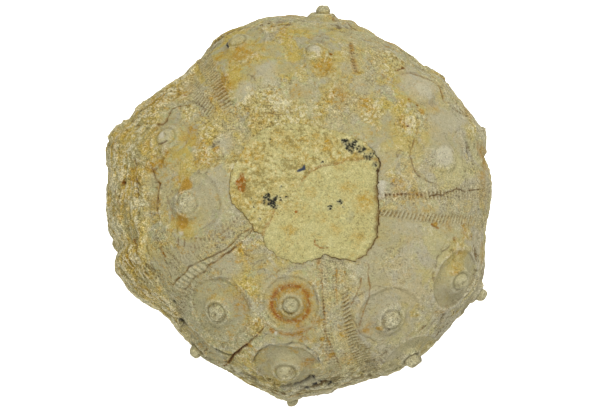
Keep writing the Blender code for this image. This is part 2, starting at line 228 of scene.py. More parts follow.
def ballPoint(d):
    # flattened ball: (distance from axis / radius)^n + (height / depth)^n = 1 along direction d
    lon, _ = lonTilt(d)
    across = np.hypot(d[..., 0], d[..., 1])
    outline = curveThrough(shell["girdleOutline"], lon, 360)
    radius = shell["girdleRadius"] + (outline - shell["girdleRadius"]) * across**1.5
    depth = np.where(d[..., 2] > 0, shell["crownHeight"], shell["undersideDepth"])
    n = shell["squareness"]
    reach = (across / radius) ** n + (np.abs(d[..., 2]) / depth) ** n
    return d * (reach ** (-1 / n))[..., None]


def ballNormal(p):
    # outward direction on the ball: each coordinate times the slope of its own term in the ball's sum
    n = shell["squareness"]
    across = np.hypot(p[..., 0], p[..., 1])
    depth = np.where(p[..., 2] > 0, shell["crownHeight"], shell["undersideDepth"])
    side = across ** (n - 2) / shell["girdleRadius"] ** n
    up = np.abs(p[..., 2]) ** (n - 2) / depth**n
    return unit(p * np.stack([side, side, up], -1))


def onBall(places):
    # points on the ball at a list of longitudes and tilts
    return ballPoint(direction(*np.array(places, float).T))


# Length of the way down the ball's surface from the pole, at each tilt
meridianTilts = np.linspace(0, 180, 721)
meridian = ballPoint(direction(np.full(721, 30.0), meridianTilts))
meridianLengths = np.concatenate([[0], np.cumsum(np.linalg.norm(np.diff(meridian, axis=0), axis=1))])


def bandMiddle(band, tilt):
    # longitude of the band's midline, as a curve through its knots
    return curveThrough(list(zip(bandTilts, bands[band])), tilt)


def bandAngle(band, tilt):
    # half the band's width as an angle about the pole
    middle = ballPoint(direction(bandMiddle(band, tilt), tilt))
    return np.degrees(curveThrough(bandHalfWidth, tilt) / np.hypot(middle[..., 0], middle[..., 1]))


def bandPlace(lon, tilt):
    # place across the nearest band: 0 on its midline, 1 and -1 at its edges; and which band it is
    nearest = np.full(lon.shape, 99.0)
    which = np.zeros(lon.shape, int)
    for number, band in enumerate(bands):
        place = ((lon - bandMiddle(band, tilt) + 180) % 360 - 180) / bandAngle(band, tilt)
        closer = np.abs(place) < np.abs(nearest)
        nearest = np.where(closer, place, nearest)
        which = np.where(closer, number, which)
    return nearest, which


def lineDistance(points, places, withRun=False):
    # distance from each point to a chain of straight pieces between places on the ball, and how far
    # along the chain the nearest place lies
    chain = onBall(places)
    nearest, run, start = np.full(len(points), 99.0), np.zeros(len(points)), 0.0
    for a, b in zip(chain, chain[1:]):
        length = np.linalg.norm(b - a)
        t = np.clip((points - a) @ (b - a) / length**2, 0, 1)
        away = np.linalg.norm(points - a - t[:, None] * (b - a), axis=1)
        run = np.where(away < nearest, start + t * length, run)
        nearest = np.minimum(nearest, away)
        start += length
    return (nearest, run) if withRun else nearest


def spotMask(points, place, radius, soft):
    # 1 within a distance of a place on the ball, fading over the soft share of the radius
    away = np.linalg.norm(points - onBall([place])[0], axis=1)
    return 1 - smoothStep(away, radius * (1 - soft), radius)


def eachSpot(points, spots, soft, grow=1.0):
    # a mask for each row of a table that starts with longitude, tilt and radius, and the row's rest
    for lon, tilt, radius, *rest in spots:
        yield (spotMask(points, (lon, tilt), radius * grow, soft), *rest)


# Cracks and lines in the shell: places along each, half width, depth, how dark and how rusty
lines = dict(
    lowerLeftCrack=([(223.6, 71), (226.6, 70.6), (228.8, 69.7), (233.3, 68.5), (237.8, 68.1), (243.1, 67.8),
        (245.5, 66.8)], 0.24, 0.42, 1.0, 0),
    wideCrackTop=([(253.6, 50.1), (252.4, 52.2), (251.4, 54.2), (249.2, 58.3)], 0.09, 0.16, 0.45, 0.5),
    wideCrack=([(249.2, 58.3), (247.4, 62.3), (245.9, 66.5), (245.5, 70.8), (243.7, 81)],
        0.15, 0.35, 1.0, 0.9),
    rightCrack=([(0.5, 46.9), (1.2, 51.1), (2.8, 54.1), (3.6, 56.4), (3, 59.3), (3.9, 65.2), (4, 70)],
        0.09, 0.14, 0.85, 0.3),
    veinLeft=([(305, 38.2), (301.7, 40), (298.1, 41.7), (294, 44.1)], 0.09, 0.05, 0.36, 0.40),
    veinRight=([(312, 34.6), (313.4, 35.8), (309.8, 38), (306.2, 41.9), (302.1, 45.3), (297.8, 47.9),
        (293.9, 51.1)], 0.09, 0.05, 0.34, 0.40),
    bandBottomEdge=([(279.9, 49.4), (280, 51.8), (280.7, 55.7), (282, 60.4), (282.6, 63.1), (283, 67)],
        0.10, 0.18, 0.55, 0.5),
    bandBottomRow=([(285.7, 27.9), (282.9, 33.2), (281.5, 38.8), (280.5, 44.3), (279.6, 48)],
        0.09, 0.09, 0.30, 0.35),
    frontLedgeShadow=([(253.4, 70.5), (255.6, 70.4), (258.1, 71.9), (262.2, 72.2), (266.2, 71.6),
        (269.3, 70.8), (272.8, 68.8), (277, 70.4)], 0.20, 0.35, 0.75, 0),
    topGap=([(80.5, 73.8), (77.5, 72.4), (75.6, 71.8), (72.8, 69.7)], 0.15, 0.40, 0.70, 0.6),
    ridgeInner=([(213.5, 24), (212.5, 26.2), (213.4, 28.9), (215.1, 32.7), (215.1, 35.9), (213.7, 40.9),
        (212.4, 45.4), (211.7, 49.3), (212.9, 52.2), (212.8, 55.7), (213.6, 58.9)], 0.11, 0.18, 0.55, 0.2),
    ridgeOuter=([(215.2, 23.1), (217.2, 26.5), (218.2, 30.3), (218.1, 34.2), (217.4, 38.1), (217.2, 41.3),
        (216.4, 43.7), (218, 45.8), (216.9, 48.9), (216.9, 51.8), (218, 57)], 0.11, 0.20, 0.62, 0.3),
    topLeftArc=([(115.8, 62), (115.8, 63.8), (114.9, 65.6), (113.3, 66.4), (111.5, 66.5)],
        0.15, 0.14, 1.0, 0),
    topRightHole=([(53.9, 58.8), (53, 61.8)], 0.11, 0.25, 0.85, 1.0),
    leftSlot=([(193, 63.8), (196, 61.8)], 0.16, 0.30, 1.0, 0.9),
    leftStreak=([(199.3, 54.2), (203.6, 54)], 0.12, 0.10, 0.45, 1.0),
    rightBandStroke=([(348, 48.2), (347, 50.2)], 0.14, 0.15, 0.5, 1.0),
    bandBottomStreak=([(284, 25.5), (282, 31.3)], 0.22, 0.04, 0.0, 0.45),
    frontRustStreak=([(257, 50.0), (268, 50.3)], 0.22, 0.04, 0.0, 0.7),
    # painted shadow under the upper rim of the front bowl
    frontBowlRimShadow=([(252.8, 64), (253.5, 61.4), (254.8, 58.6), (257.3, 55), (262, 53.5), (265.8, 52.8),
        (270.2, 53.2), (272.5, 55), (275, 56.8), (276.3, 60.2)], 0.12, 0.14, 0.6, 0),
    veinBand=([(294.5, 31.1), (289.3, 38.2), (288, 41.8)], 0.085, 0.04, 0.15, 0.35),
    veinBandRight=([(299, 33.1), (294, 39.3), (292.6, 41.3)], 0.08, 0.04, 0.20, 0.3),
    discEdge=([(26.8, 45.5), (23.8, 43.4), (20.2, 42.1), (15.5, 41.8), (10.5, 42.8), (7.2, 45.5)],
        0.11, 0.12, 0.45, 0.2),
    lensEdge=([(50.1, 63), (47, 65.3), (43.3, 66.8), (40.8, 67.3), (38.4, 66.4), (35.2, 64.1)],
        0.13, 0.16, 0.6, 0.3),
    darkStroke=([(19.7, 64.4), (17, 63.9), (15.2, 64.4)], 0.15, 0.12, 0.45, 0),
    boxLeft=([(198.9, 47.4), (202, 48.3)], 0.10, 0.14, 0.6, 0.3),
    boxRight=([(199.9, 45.7), (203, 46.7)], 0.10, 0.14, 0.6, 0.3),
    crystalFoot=([(159.6, 53.8), (158.6, 52.3), (157.5, 51.2)], 0.11, 0.14, 0.7, 0.4),
    blobEdge=([(163.5, 55.2), (164.5, 53.8), (163.3, 52.5), (165.8, 51.8), (169, 54.1)],
        0.12, 0.16, 0.65, 0.5),
    crustFold=([(166.3, 61.1), (169.9, 60.3), (174.4, 59.2), (179, 58.5)], 0.15, 0.20, 0.6, 0.2),
    crustEdgeFold=([(169.5, 54.8), (172.8, 53.7), (174.4, 51.8), (180.4, 52.6), (183.8, 52.9),
        (188.2, 52.5)], 0.13, 0.18, 0.6, 0.5),
    shoulderLine=([(140.5, 54.8), (142.5, 57.3), (145.2, 59.1), (149.5, 57.4), (152.4, 58.5),
        (154.9, 57.7)], 0.13, 0.16, 0.65, 0.3),
    crustStep=([(176, 45), (180, 49), (196, 47)], 0.10, 0.10, 0.3, 0.2),
)
unbrokenLines = (  # the others fade in and out along their way
    "lowerLeftCrack", "wideCrackTop", "wideCrack", "rightCrack",
    "veinLeft", "veinRight", "veinBand", "veinBandRight",
)
dottedRows = dict(  # rows of separate little pits: places along each, half width, pitch, depth, dark, rust
    rightBandPits=([(359.8, 31.7), (0.3, 34.7), (0.7, 37.4), (0.8, 40.1), (0.5, 44)],
        0.13, 0.46, 0.12, 0.7, 0.7),
    topRightPits=([(73, 60.4), (71, 55.2), (67, 49.7)], 0.18, 0.44, 0.14, 0.6, 0.6),
    lowerLeftPits=([(199.9, 26.8), (204.3, 30.1), (205.6, 33.8), (206.3, 37.1), (204.5, 39.7),
        (202.2, 41.8), (201, 43.7)], 0.15, 0.50, 0.10, 0.45, 0.1),
    lowerLeftPitsTwo=([(207, 30), (209.5, 34), (210, 38), (208, 42), (204, 45.5)],
        0.14, 0.50, 0.09, 0.40, 0.1),
    bottomPits=([(281.5, 38.8), (280.5, 44.3), (279.6, 48)], 0.14, 0.42, 0.10, 0.55, 0.2),
)
fineLines = [  # places along faint grooves and steps, half width, depth, darkness
    ([(52, 59), (49, 65), (44, 70.4), (38, 70.4), (33, 66)], 0.10, 0.10, 0.45),
    ([(52, 79), (45, 79.5), (40, 79), (33, 71.4)], 0.12, 0.14, 0.4),
    ([(20, 64.7), (13, 66.5), (7, 65.6)], 0.12, 0.14, 0.4), ([(19, 62.2), (12, 59.7)], 0.09, 0.08, 0.3),
    ([(91, 67.4), (85, 65.6), (79, 68.7), (75, 69.4)], 0.09, 0.09, 0.35),
    ([(90, 60.7), (84, 61.4), (77, 61)], 0.08, 0.07, 0.3),
    ([(92, 54), (90, 57), (85, 58.2), (80, 57)], 0.09, 0.08, 0.3),
    ([(26.8, 45.5), (31, 48.8), (32, 53.7)], 0.14, 0.10, 0.3),
    ([(7.2, 45.5), (5, 49.4), (6, 55.9)], 0.10, 0.08, 0.3),
    ([(292, 47.3), (293, 54), (297, 59)], 0.15, 0.14, 0.4),
    ([(297, 42.2), (309, 42.6), (316, 48), (318, 54)], 0.09, 0.07, 0.25),
    ([(219, 49.8), (222, 44.8), (230, 41), (238, 41.3), (245, 44.8)], 0.15, 0.12, 0.3),
    ([(246, 35), (255, 29.6), (270, 27.8), (281, 32)], 0.12, 0.09, 0.25),
    ([(342, 55.9), (336, 53), (329, 54.5), (325, 59)], 0.12, 0.12, 0.5),
    ([(168, 55), (174, 53.6), (182, 52)], 0.11, 0.12, 0.5),
    ([(160, 53.5), (165, 52.8), (168, 50)], 0.11, 0.10, 0.45),
    ([(188, 55), (198, 54.7), (205, 55), (212, 57.7)], 0.10, 0.10, 0.35),
    ([(188, 59.2), (198, 59), (207, 61)], 0.10, 0.12, 0.35),
    ([(201, 80), (205, 78), (209, 71)], 0.14, 0.2, 0.5),
    ([(177, 55.8), (183, 55.6), (189, 55.6)], 0.10, 0.12, 0.35),
    ([(144, 60.8), (140, 57), (137, 52.7), (139, 46.2)], 0.10, 0.10, 0.45),
    ([(116, 34.6), (107, 32), (97, 31.2)], 0.10, 0.10, 0.5),
    ([(293, 27), (289, 35.6), (287, 41.5)], 0.10, 0.08, 0.25),
    ([(254, 80), (261, 77), (267, 74.6), (273, 70)], 0.13, 0.18, 0.6),
    ([(250, 79), (257, 73.7), (262, 72.8)], 0.11, 0.14, 0.5),
    ([(296, 67.8), (299, 76), (304, 77)], 0.12, 0.14, 0.4),
    ([(314, 72), (318, 72), (323, 72.8)], 0.12, 0.14, 0.4),
    ([(198, 47), (199, 40), (196, 35)], 0.10, 0.08, 0.3),
]
pits = [  # longitude, tilt, radius, depth, dark, rust
    (174, 66.2, 0.20, 0.30, 0.9, 0.9), (180, 68.1, 0.17, 0.22, 0.6, 0.8), (198, 76.6, 0.24, 0.30, 1.0, 0.6),
    (34, 46.3, 0.18, 0.12, 0.6, 1.0), (79, 53.2, 0.15, 0.12, 0.6, 0.9), (141, 55.2, 0.20, 0.25, 1.0, 0),
    (218, 65.8, 0.32, 0.20, 1.0, 0), (151, 38.5, 0.42, 0.15, 0.6, 0), (111, 39.6, 0.30, 0.15, 0.7, 0),
    (348, 64.5, 0.26, 0.15, 0.4, 0.8), (345, 57.2, 0.24, 0.15, 0.3, 0.5), (39, 53.7, 0.15, 0.15, 0.7, 0.8),
    (138, 60, 0.2, 0.1, 0.3, 0.9), (273, 68.2, 0.5, 0.22, 0.9, 0), (276.1, 71.8, 0.75, 0.3, 1.0, 0),
    (278.4, 75.2, 0.55, 0.18, 1.0, 0), (280.6, 77.2, 0.45, 0.14, 0.9, 0), (274.5, 73.6, 0.6, 0.2, 1.0, 0),
    (271.4, 75.5, 0.4, 0.2, 0.9, 0), (269.2, 72.7, 0.5, 0.3, 1.0, 0), (264, 74, 0.45, 0.3, 0.9, 0),
    (250, 77, 0.5, 0.2, 0.7, 0), (53, 61.8, 0.2, 0.3, 0.9, 1.0), (43, 52.8, 0.12, 0.10, 0.3, 0.7),
    (119, 25.3, 0.25, 0.1, 0.6, 0), (205, 70, 0.2, 0.2, 0.7, 0.4),
]
smears = [  # longitude, tilt, radius, amount: crumbly yellow rock left on the plates
    (81, 48.5, 2.7, 0.75), (70, 39.4, 3.3, 0.8), (70, 55, 1.8, 0.7), (59, 61, 3.0, 0.75),
    (90, 44.4, 1.2, 0.8), (55, 40.4, 3.0, 0.65), (36, 45.8, 1.5, 0.8), (116, 35, 3.8, 0.75),
    (97, 31, 3.0, 0.75), (71, 31.4, 2.7, 0.8), (126, 51, 3.0, 0.5), (113, 57, 2.4, 0.7),
    (138, 62.6, 2.4, 0.75), (141, 40.4, 3.2, 0.7), (164, 53.3, 1.8, 0.7), (159, 38.5, 2.4, 0.5),
    (341, 59.7, 2.4, 0.85), (315, 58.2, 1.6, 0.5), (249, 50, 1.8, 0.6), (276, 45.5, 1.5, 0.4),
    (351, 62.5, 1.5, 0.5), (10, 34.7, 1.8, 0.4), (151, 64.2, 2.4, 0.7), (50, 79, 2.4, 0.5),
    (98, 68, 3.0, 0.4), (42, 79.7, 1.8, 0.5), (23, 68, 1.8, 0.4), (142, 53.3, 1.8, 0.6), (37, 53, 1.5, 0.3),
    (0, 43, 2.0, 0.35), (259, 72, 2.0, 0.5), (277, 62, 1.4, 0.5),
]
stains = [  # longitude, tilt, radius, ochre, rust: soft patches of iron stain
    (174, 42.6, 1.25, 1.6, 0.20), (192, 45.1, 1.05, 1.6, 0.25), (44, 56.2, 0.6, 0.6, 0.3),
    (35, 58, 1.2, 0.6, 0.0), (241, 46.3, 1.5, 0.60, 0.2), (235, 45, 1.6, 0.45, 0.0),
    (296, 53.4, 1.1, 0.8, 0.2), (272, 60.8, 1.2, 0.65, 0.4), (349, 53.7, 1.4, 0.5, 0.1),
    (133, 45.5, 1.6, 0.7, 0.0), (113, 57, 2.2, 0.9, 0.10), (269, 48.8, 1.6, 0.7, 0.3),
    (70, 39.4, 2.0, 0.6, 0.15), (81, 48.5, 1.9, 0.7, 0.05), (144, 68.2, 2.4, 0.6, 0.0),
    (161, 72.6, 2.6, 0.5, 0.0), (126, 51.2, 2.2, 0.8, 0.10), (341, 60.9, 1.4, 0.6, 0.0),
    (335, 60.5, 0.9, 0.7, 0.1), (159, 38.5, 1.8, 0.7, 0.0), (152, 44, 1.6, 0.5, 0.0),
    (55, 40.4, 2.0, 0.6, 0.0), (36, 45.8, 1.1, 0.7, 0.15), (5, 36.8, 1.2, 0.6, 0.0),
    (0, 40.8, 1.2, 0.7, 0.0), (4, 70, 2.2, 0.4, 0.0), (96, 62, 2.2, 0.3, 0.0), (118, 33, 1.8, 0.45, 0.0),
    (276, 45.5, 1.2, 0.8, 0.2), (249, 50, 1.4, 0.5, 0.0), (225, 31.7, 1.7, 0.5, 0.0),
    (280, 60, 0.9, 0.7, 0.3), (138, 62.6, 2.0, 0.7, 0.0), (321, 66.7, 1.2, 0.4, 0.0),
    (180, 66, 2.0, 0.5, 0.0), (209, 72.8, 1.8, 0.5, 0.0), (150, 47, 1.4, 0.6, 0.1),
    (164, 51, 0.9, 0.8, 0.3), (125.8, 49.5, 0.8, 1.0, 0.5), (122, 53.5, 1.0, 1.0, 0.35),
    (42, 79.7, 1.6, 0.4, 0.0), (90, 38.9, 1.4, 0.4, 0.0), (168, 54, 1.2, 0.9, 0.1),
    (181, 53, 1.3, 0.8, 0.1), (172, 60, 2.2, 0.6, 0.0), (200, 66, 2.0, 0.5, 0.0), (350, 62, 1.4, 0.5, 0.1),
    (352, 46, 1.0, 0.5, 0.0), (14, 76, 2.4, 1.0, 0.25), (8, 70, 1.6, 0.8, 0.1), (29, 74, 1.8, 0.6, 0.1),
    (345, 76, 2.0, 0.6, 0.15), (287, 52, 1.4, 0.6, 0.0), (286, 62, 1.6, 0.5, 0.0), (60, 76, 2.0, 0.6, 0.2),
    (95, 78, 2.4, 0.5, 0.15), (306, 80, 1.6, 0.5, 0.2), (268, 84, 1.4, 0.8, 0.5), (120, 62, 1.6, 0.5, 0.0),
    (101, 66, 1.8, 0.5, 0.0),
]
rustRing = dict(centre=(264, 40.5), reach=4.2, radius=2.05, outerRadius=3.75)
goldSpots = [  # longitude, tilt, radius: solid golden limonite
    (174.6, 42.6, 0.72), (176.6, 43.6, 0.6), (192.4, 45.0, 0.68), (191.0, 43.9, 0.55), (165.6, 52.4, 0.30),
    (152, 36.4, 0.4), (348.6, 49.6, 0.32), (280.9, 58.9, 0.35), (277.9, 52.7, 0.35), (300.5, 54.7, 0.35),
    (36, 53.4, 0.40), (341, 60.2, 0.30), (250.6, 58.0, 0.3),
]
smoothPatches = [  # longitude, tilt, radius, pale: bare grey plate with little grain on it
    (45, 60.3, 3.2, 0.45), (156.3, 54, 0.7, 0.7), (147.2, 34.5, 1.5, 0.25), (117.7, 44, 1.7, 0.3),
    (105.4, 47.2, 2.0, 0.3), (103.4, 34.8, 2.0, 0.15), (84.3, 52.9, 1.0, 0.65), (62, 46, 1.6, 0.15),
    (30, 58, 2.2, 0.15), (250, 34, 2.2, 0.1), (224, 38, 2.4, 0.1), (172, 32, 2.4, 0.15),
    (318, 35, 2.4, 0.1), (345, 40, 2.6, 0.1), (206, 47, 2.0, 0.1), (16.4, 53.4, 1.7, 0.55),
    (42, 38.5, 2.6, 0.0), (306, 47, 2.0, 0.1), (101, 55.1, 1.7, 0.0), (110, 49.1, 1.8, 0.0),
    (97, 47.5, 1.5, 0.0), (264, 58.3, 2.4, 0.0), (205, 53.6, 2.5, 0.0), (43, 39.8, 2.2, 0.0),
    (90, 38.9, 1.4, 0.0), (150, 31.4, 1.6, 0.0), (336, 35.1, 3.2, 0.0), (330, 59.8, 1.6, 0.0),
    (3, 30.6, 0.6, 0.7), (0, 30.5, 0.6, 0.7), (22, 54, 1.8, 0.15), (301, 68.1, 2.0, 0.1),
    (22, 31, 2.0, 0.1), (236, 31, 2.0, 0.0), (180, 36, 2.2, 0.1), (70, 50, 1.3, 0.1), (310, 42, 2.2, 0.0),
    (6, 30.8, 0.8, 0.8), (196, 46.8, 0.5, 1.0), (259, 50.6, 0.35, 1.0), (128, 47, 0.4, 0.6),
    (45, 62.7, 1.0, 0.5), (85, 52.5, 0.9, 0.5), (161, 52, 0.8, 0.3),
]
crust = dict(  # rock that clings to the left side, and its ragged upper edge
    edge=[(125, 72), (133, 64), (141, 63), (148, 60), (155, 57.5), (162, 55), (169, 54.5), (179, 56),
          (190, 58), (201, 60), (212, 63), (221, 68), (230, 76)],
    thickness=0.42, lowerTilt=112,
)
bandLook = dict(  # lower side: how clear its pores are, from which tilt; higher side: the same two, how far
    # it fans out; then for both: how deep the pore rows are sunk, and where their ribs start
    bandRight=(1.4, 28, 1.35, 28, 0.30, 0.13, 0.36), bandTopRight=(0.35, 40, 0.35, 40, 0, 0.12, 0.38),
    bandTopLeft=(2.4, 43, 1.9, 46, 0, 0.15, 0.10), bandLowerLeft=(0.5, 30, 0.9, 58, 0.2, 0.12, 0.38),
    bandBottom=(0.8, 44, 1.9, 40, 0.40, 0.20, 0.38),
)
surfaceLook = dict(  # heights, depths and sizes in millimetres
    porePitch=0.47, poreRadius=0.10, poreDepth=0.08, ridgeHeight=0.13, bandBeads=0.030,
    ridgeRise=0.09, ridgeBeads=0.20, ridgeBeadPitch=0.70, ringBeads=0.055, beadRing=1.08, beadPitch=0.62,
    sutureDepth=0.05, sutureWidth=0.25, swelling=0.18, lumps=0.075, edgeLumps=0.13,
    grain=0.077, granules=0.048, granuleSize=0.40, chips=0.15, chipSize=1.1, facets=0.15, facetSize=0.62,
    smearRise=0.07, crumbs=0.08, crumbSize=0.45, layers=0.085,
    hairDepth=0.045, ledgeDepth=0.11, frontLedges=0.09, creaseDepth=0.07,
    settle=0.05, dive=0.8,  # settle lowers all of it, dive is the slope under a neighbouring piece
)


def crustMask(lon, tilt, points):
    # 1 where rock covers the shell: below a ragged edge, between the bands of the left side
    edge = np.interp(lon, *np.array(crust["edge"], float).T, left=180, right=180)
    edge = edge + 2.2 * roughNoise(points, 2.4, 3, 301)
    inside = smoothStep(lon, 122, 130) * (1 - smoothStep(lon, 224, 232))
    return inside * smoothStep(tilt, edge - 0.4, edge + 1.6) * (1 - smoothStep(tilt, 100, crust["lowerTilt"]))


def bossShape(d):
    # moves each direction towards or away from the nearest boss axis by bossSection, and lifts it;
    # a slow noise makes the rings a little uneven
    spacing, trueDistance, sectionHeight = bossSection.T
    start = ballPoint(d)
    uneven = 1 + 0.035 * softNoise(start, 2.3, 31) + 0.020 * softNoise(start, 0.9, 32)
    edgeHeight = 0.75 + 0.5 * softNoise(start, 2.0, 33)
    none = np.zeros(len(d))
    near = dict(moved=d, bossLift=none, bossAxis=np.zeros_like(d), share=none + spacing[-1], angle=none,
                wear=none, ring=none + 3.0, clear=none)
    for lon, tilt, ring, worn, edge, *oval in bosses:
        centre = onBall([(lon, tilt)])[0]
        axis = ballNormal(centre)
        away = start - centre
        along = away @ axis
        flat = away - along[:, None] * axis
        apart = np.linalg.norm(flat, axis=1) / ring
        if oval:
            east = unit(np.cross((0, 0, 1), axis))
            squeezed = np.hypot(flat @ east, flat @ np.cross(axis, east) / oval[0]) / ring
            apart = apart + (squeezed - apart) * smoothStep(apart, 0.40, 0.75)
        apart = apart * (1 + (uneven - 1) * smoothStep(apart, 0.35, 0.8))
        mine = (apart < near["share"]) & (np.abs(along) < 1.5 * ring)
        side = unit(np.cross(axis, (0.3, 0.1, 0.9)))
        reach = np.interp(apart, spacing, trueDistance) * (1 - worn) + np.minimum(apart, 1.3) * worn
        reach = np.where(apart < 1.3, reach, apart)
        height = np.interp(apart, spacing, sectionHeight)
        above = np.maximum(height - wornTo, 0)
        height = np.where(above > 0, wornTo + above * (1 - worn), height)
        outer = smoothStep(apart, 0.45, 0.75)
        height = height * (1 - outer + outer * edge * edgeHeight)
        found = dict(moved=unit(centre + flat * (reach / np.maximum(apart, 1e-9))[:, None]),
                     bossLift=height * ring, bossAxis=axis, share=apart,
                     angle=np.arctan2(flat @ np.cross(axis, side), flat @ side),
                     wear=worn, ring=ring, clear=edge)
        for name, value in found.items():
            chosen = mine[:, None] if near[name].ndim == 2 else mine
            near[name] = np.where(chosen, value, near[name])
    return near


def shellSite(lon, tilt):
    # what is known of each point before its relief: the ball point under it, moved to the section of
    # the nearest boss, and how far it belongs to that boss, its knob and its bowl
    site = SimpleNamespace(**bossShape(direction(lon, tilt)))
    site.base = ballPoint(site.moved)
    site.normal = ballNormal(site.base)
    site.lon, site.tilt = lonTilt(site.base)
    site.length = np.interp(site.tilt, meridianTilts, meridianLengths)
    site.bossed = 1 - smoothStep(site.share, 0.9, 1.3)
    site.knob = 1 - smoothStep(site.share, 0.30, 0.42)
    site.bowl = smoothStep(site.share, 0.42, 0.55) - smoothStep(site.share, 0.86, 1.0)
    site.hidden = smoothStep(site.tilt, 86, 100)
    site.crusted = crustMask(site.lon, site.tilt, site.base)
    site.spread = wander(site.base, 0.55, 1.1, 91)
    site.jitter = wander(site.base, 0.10, 0.5, 81)
    site.broken = 0.45 + 0.55 * smoothStep(softNoise(site.base, 0.7, 85), -0.5, 0.3)
    return site


def plateLines(site):
    # 1 on the line between two plates, where the two nearest plate centres are equally far away
    centres = onBall([boss[:2] for boss in bosses] + barePlates)
    wobble = wander(site.base, 0.35, 2.0, 41)
    away = np.sort(np.linalg.norm(wobble[:, None] - centres[None], axis=-1), axis=1)
    line = 1 - smoothStep(away[:, 1] - away[:, 0], 0, surfaceLook["sutureWidth"])
    line = line * (1 - site.inBand) * (1 - site.bossed)
    return line * smoothStep(softNoise(site.base, 2.4, 65), -0.2, 0.5)


def bandRelief(site, masks):
    # two sunk pore rows with a ridge for every pair of pores, and a raised granular middle
    place, which = bandPlace(site.lon, site.tilt)
    look = np.array([bandLook[name] for name in bands])[which]
    lowClear, lowStart, highClear, highStart, fanOut, sunk, ribsFrom = look.T
    size, higher = np.abs(place), place > 0
    start = np.where(higher, highStart, lowStart)
    clear = 0.12 + 0.88 * smoothStep(site.tilt, start - 3, start + 3)
    clear = np.where(higher, highClear, lowClear) * clear
    fan = 1 + np.where(higher, fanOut, 0) * smoothStep(site.tilt, 50, 62)
    inside = 1 - smoothStep(size, 0.95, 1.30)
    along = site.length / surfaceLook["porePitch"] + 0.25 * softNoise(site.base, 3.0, 51)
    clear = clear * (0.75 + 0.25 * softNoise(site.base, 2.5, 52))
    poreZone = smoothStep(size, ribsFrom, ribsFrom + 0.12) * (1 - smoothStep(size, 0.90 * fan, 0.99 * fan))
    slanted = along + 0.9 * (size - 0.7)
    ridge = 0.5 + 0.5 * np.cos(2 * np.pi * slanted)
    step = np.abs((slanted + 0.5) % 1 - 0.5)
    pores = np.zeros(len(size))
    halfWidth = curveThrough(bandHalfWidth, site.tilt)
    poreRadius = surfaceLook["poreRadius"]
    for spot in poreColumns:
        away = np.hypot((size - spot) * halfWidth, (step - 0.5) * surfaceLook["porePitch"])
        pores = np.maximum(pores, 1 - smoothStep(away, 0.4 * poreRadius, 1.3 * poreRadius))
    height = -sunk * inside + sunk * 0.75 * (1 - smoothStep(size, 0.25, 0.48))
    pored = surfaceLook["ridgeHeight"] * (ridge - 0.4) - surfaceLook["poreDepth"] * pores
    height += clear * poreZone * pored
    beads = np.cos(2 * np.pi * along) * (1 - smoothStep(np.abs(size - 0.36), 0.03, 0.12))
    height += surfaceLook["bandBeads"] * clear * beads
    patchy = 0.35 + 0.65 * smoothStep(softNoise(site.base, 1.4, 53), -0.6, 0.4)
    # pore: painted shade in the pores and between the ribs; ridge: painted highlight on the ribs
    masks["pore"] = np.clip(clear * poreZone * (0.8 * pores + 0.6 * (1 - ridge)) * patchy, 0, 1)
    masks["ridge"] = np.clip(clear * poreZone * ridge**2 * (1 - pores), 0, 1)
    masks["band"] = inside * (0.3 + 0.7 * poreZone)
    return height, inside


def ridgeBeads(site):
    # a raised ridge between the two grooves of the lower left band, ribbed across in its lower half
    inner, outer = (lineDistance(site.base, lines[name][0]) for name in ("ridgeInner", "ridgeOuter"))
    apart = np.interp(site.tilt, [22, 38, 46, 58], [0.30, 0.55, 1.15, 1.45])
    inside = 1 - smoothStep(inner + outer, apart * 1.05, apart * 1.35 + 0.15)
    across = inside * smoothStep(np.minimum(inner, outer), 0.02, 0.22) * (1 - smoothStep(site.tilt, 59, 62))
    along = site.length / surfaceLook["ridgeBeadPitch"]
    rib = 0.5 + 0.5 * np.cos(2 * np.pi * (along + 0.25 * (inner - outer) / apart))
    return across, across * smoothStep(site.tilt, 38, 43) * rib


def rimBlend(site):
    # 1 at the upper hole's edge where the rock of the middle spreads over the shell
    across = site.toHole + 0.7 * softNoise(site.base, 1.2, 121)
    where = smoothStep(site.lon, 55, 90) * (1 - smoothStep(site.lon, 150, 176))
    return where * (1 - smoothStep(across, 0.3, 1.9)) * (site.base[:, 2] > 0)


def looseRock(site):
    # smear = crumbly rock in soft spots and at the hole, broken up by a rough noise, and kept off sharp
    # knobs and bands; smooth and pale = the greatest of the bare spots at each point
    near = 0.5 * smoothStep(softNoise(site.base, 6.0, 103), -0.1, 0.6) * smoothStep(site.tilt, 66, 84)
    for spot, amount in eachSpot(site.spread, smears, 0.8, 1.15):
        near = np.maximum(near, spot * amount)
    near = np.maximum(near, rimBlend(site))
    site.patchy = roughNoise(site.base, 1.2, 4, 101)
    site.smear = smoothStep(near + 0.55 * site.patchy, 0.26, 0.52)
    site.smear = site.smear * (1 - 0.8 * site.knob * (1 - site.wear)) * (1 - 0.6 * site.inBand)
    site.smooth, site.pale = np.zeros(len(near)), np.zeros(len(near))
    for spot, paleness in eachSpot(site.spread, smoothPatches, 0.6):
        site.smooth = np.maximum(site.smooth, spot)
        site.pale = np.maximum(site.pale, spot * paleness)
    site.smooth = site.smooth * (1 - site.smear)


def rockLayers(site):
    # noise in a space that is close down the shell and drawn out along it: streaks, and folds where
    # the noise crosses zero
    x, y = site.base[:, 0], site.base[:, 1]
    down = site.length + 0.5 * softNoise(site.base, 2.5, 72) + 0.2 * softNoise(site.base, 0.8, 73)
    alongLayer = x * 0.79 + y * 0.61 + 2.2 * softNoise(site.base, 4.0, 76)
    acrossLayer = y * 0.79 - x * 0.61 + 2.2 * softNoise(site.base, 4.0, 77)
    site.layered = np.stack([down + 0.10 * alongLayer, 0.17 * alongLayer, 0.17 * acrossLayer], -1)
    site.streaks = roughNoise(site.layered, 0.9, 3, 71)
    site.folds = np.maximum(1 - 2.2 * np.abs(roughNoise(site.layered, 0.75, 2, 75)), -0.5)


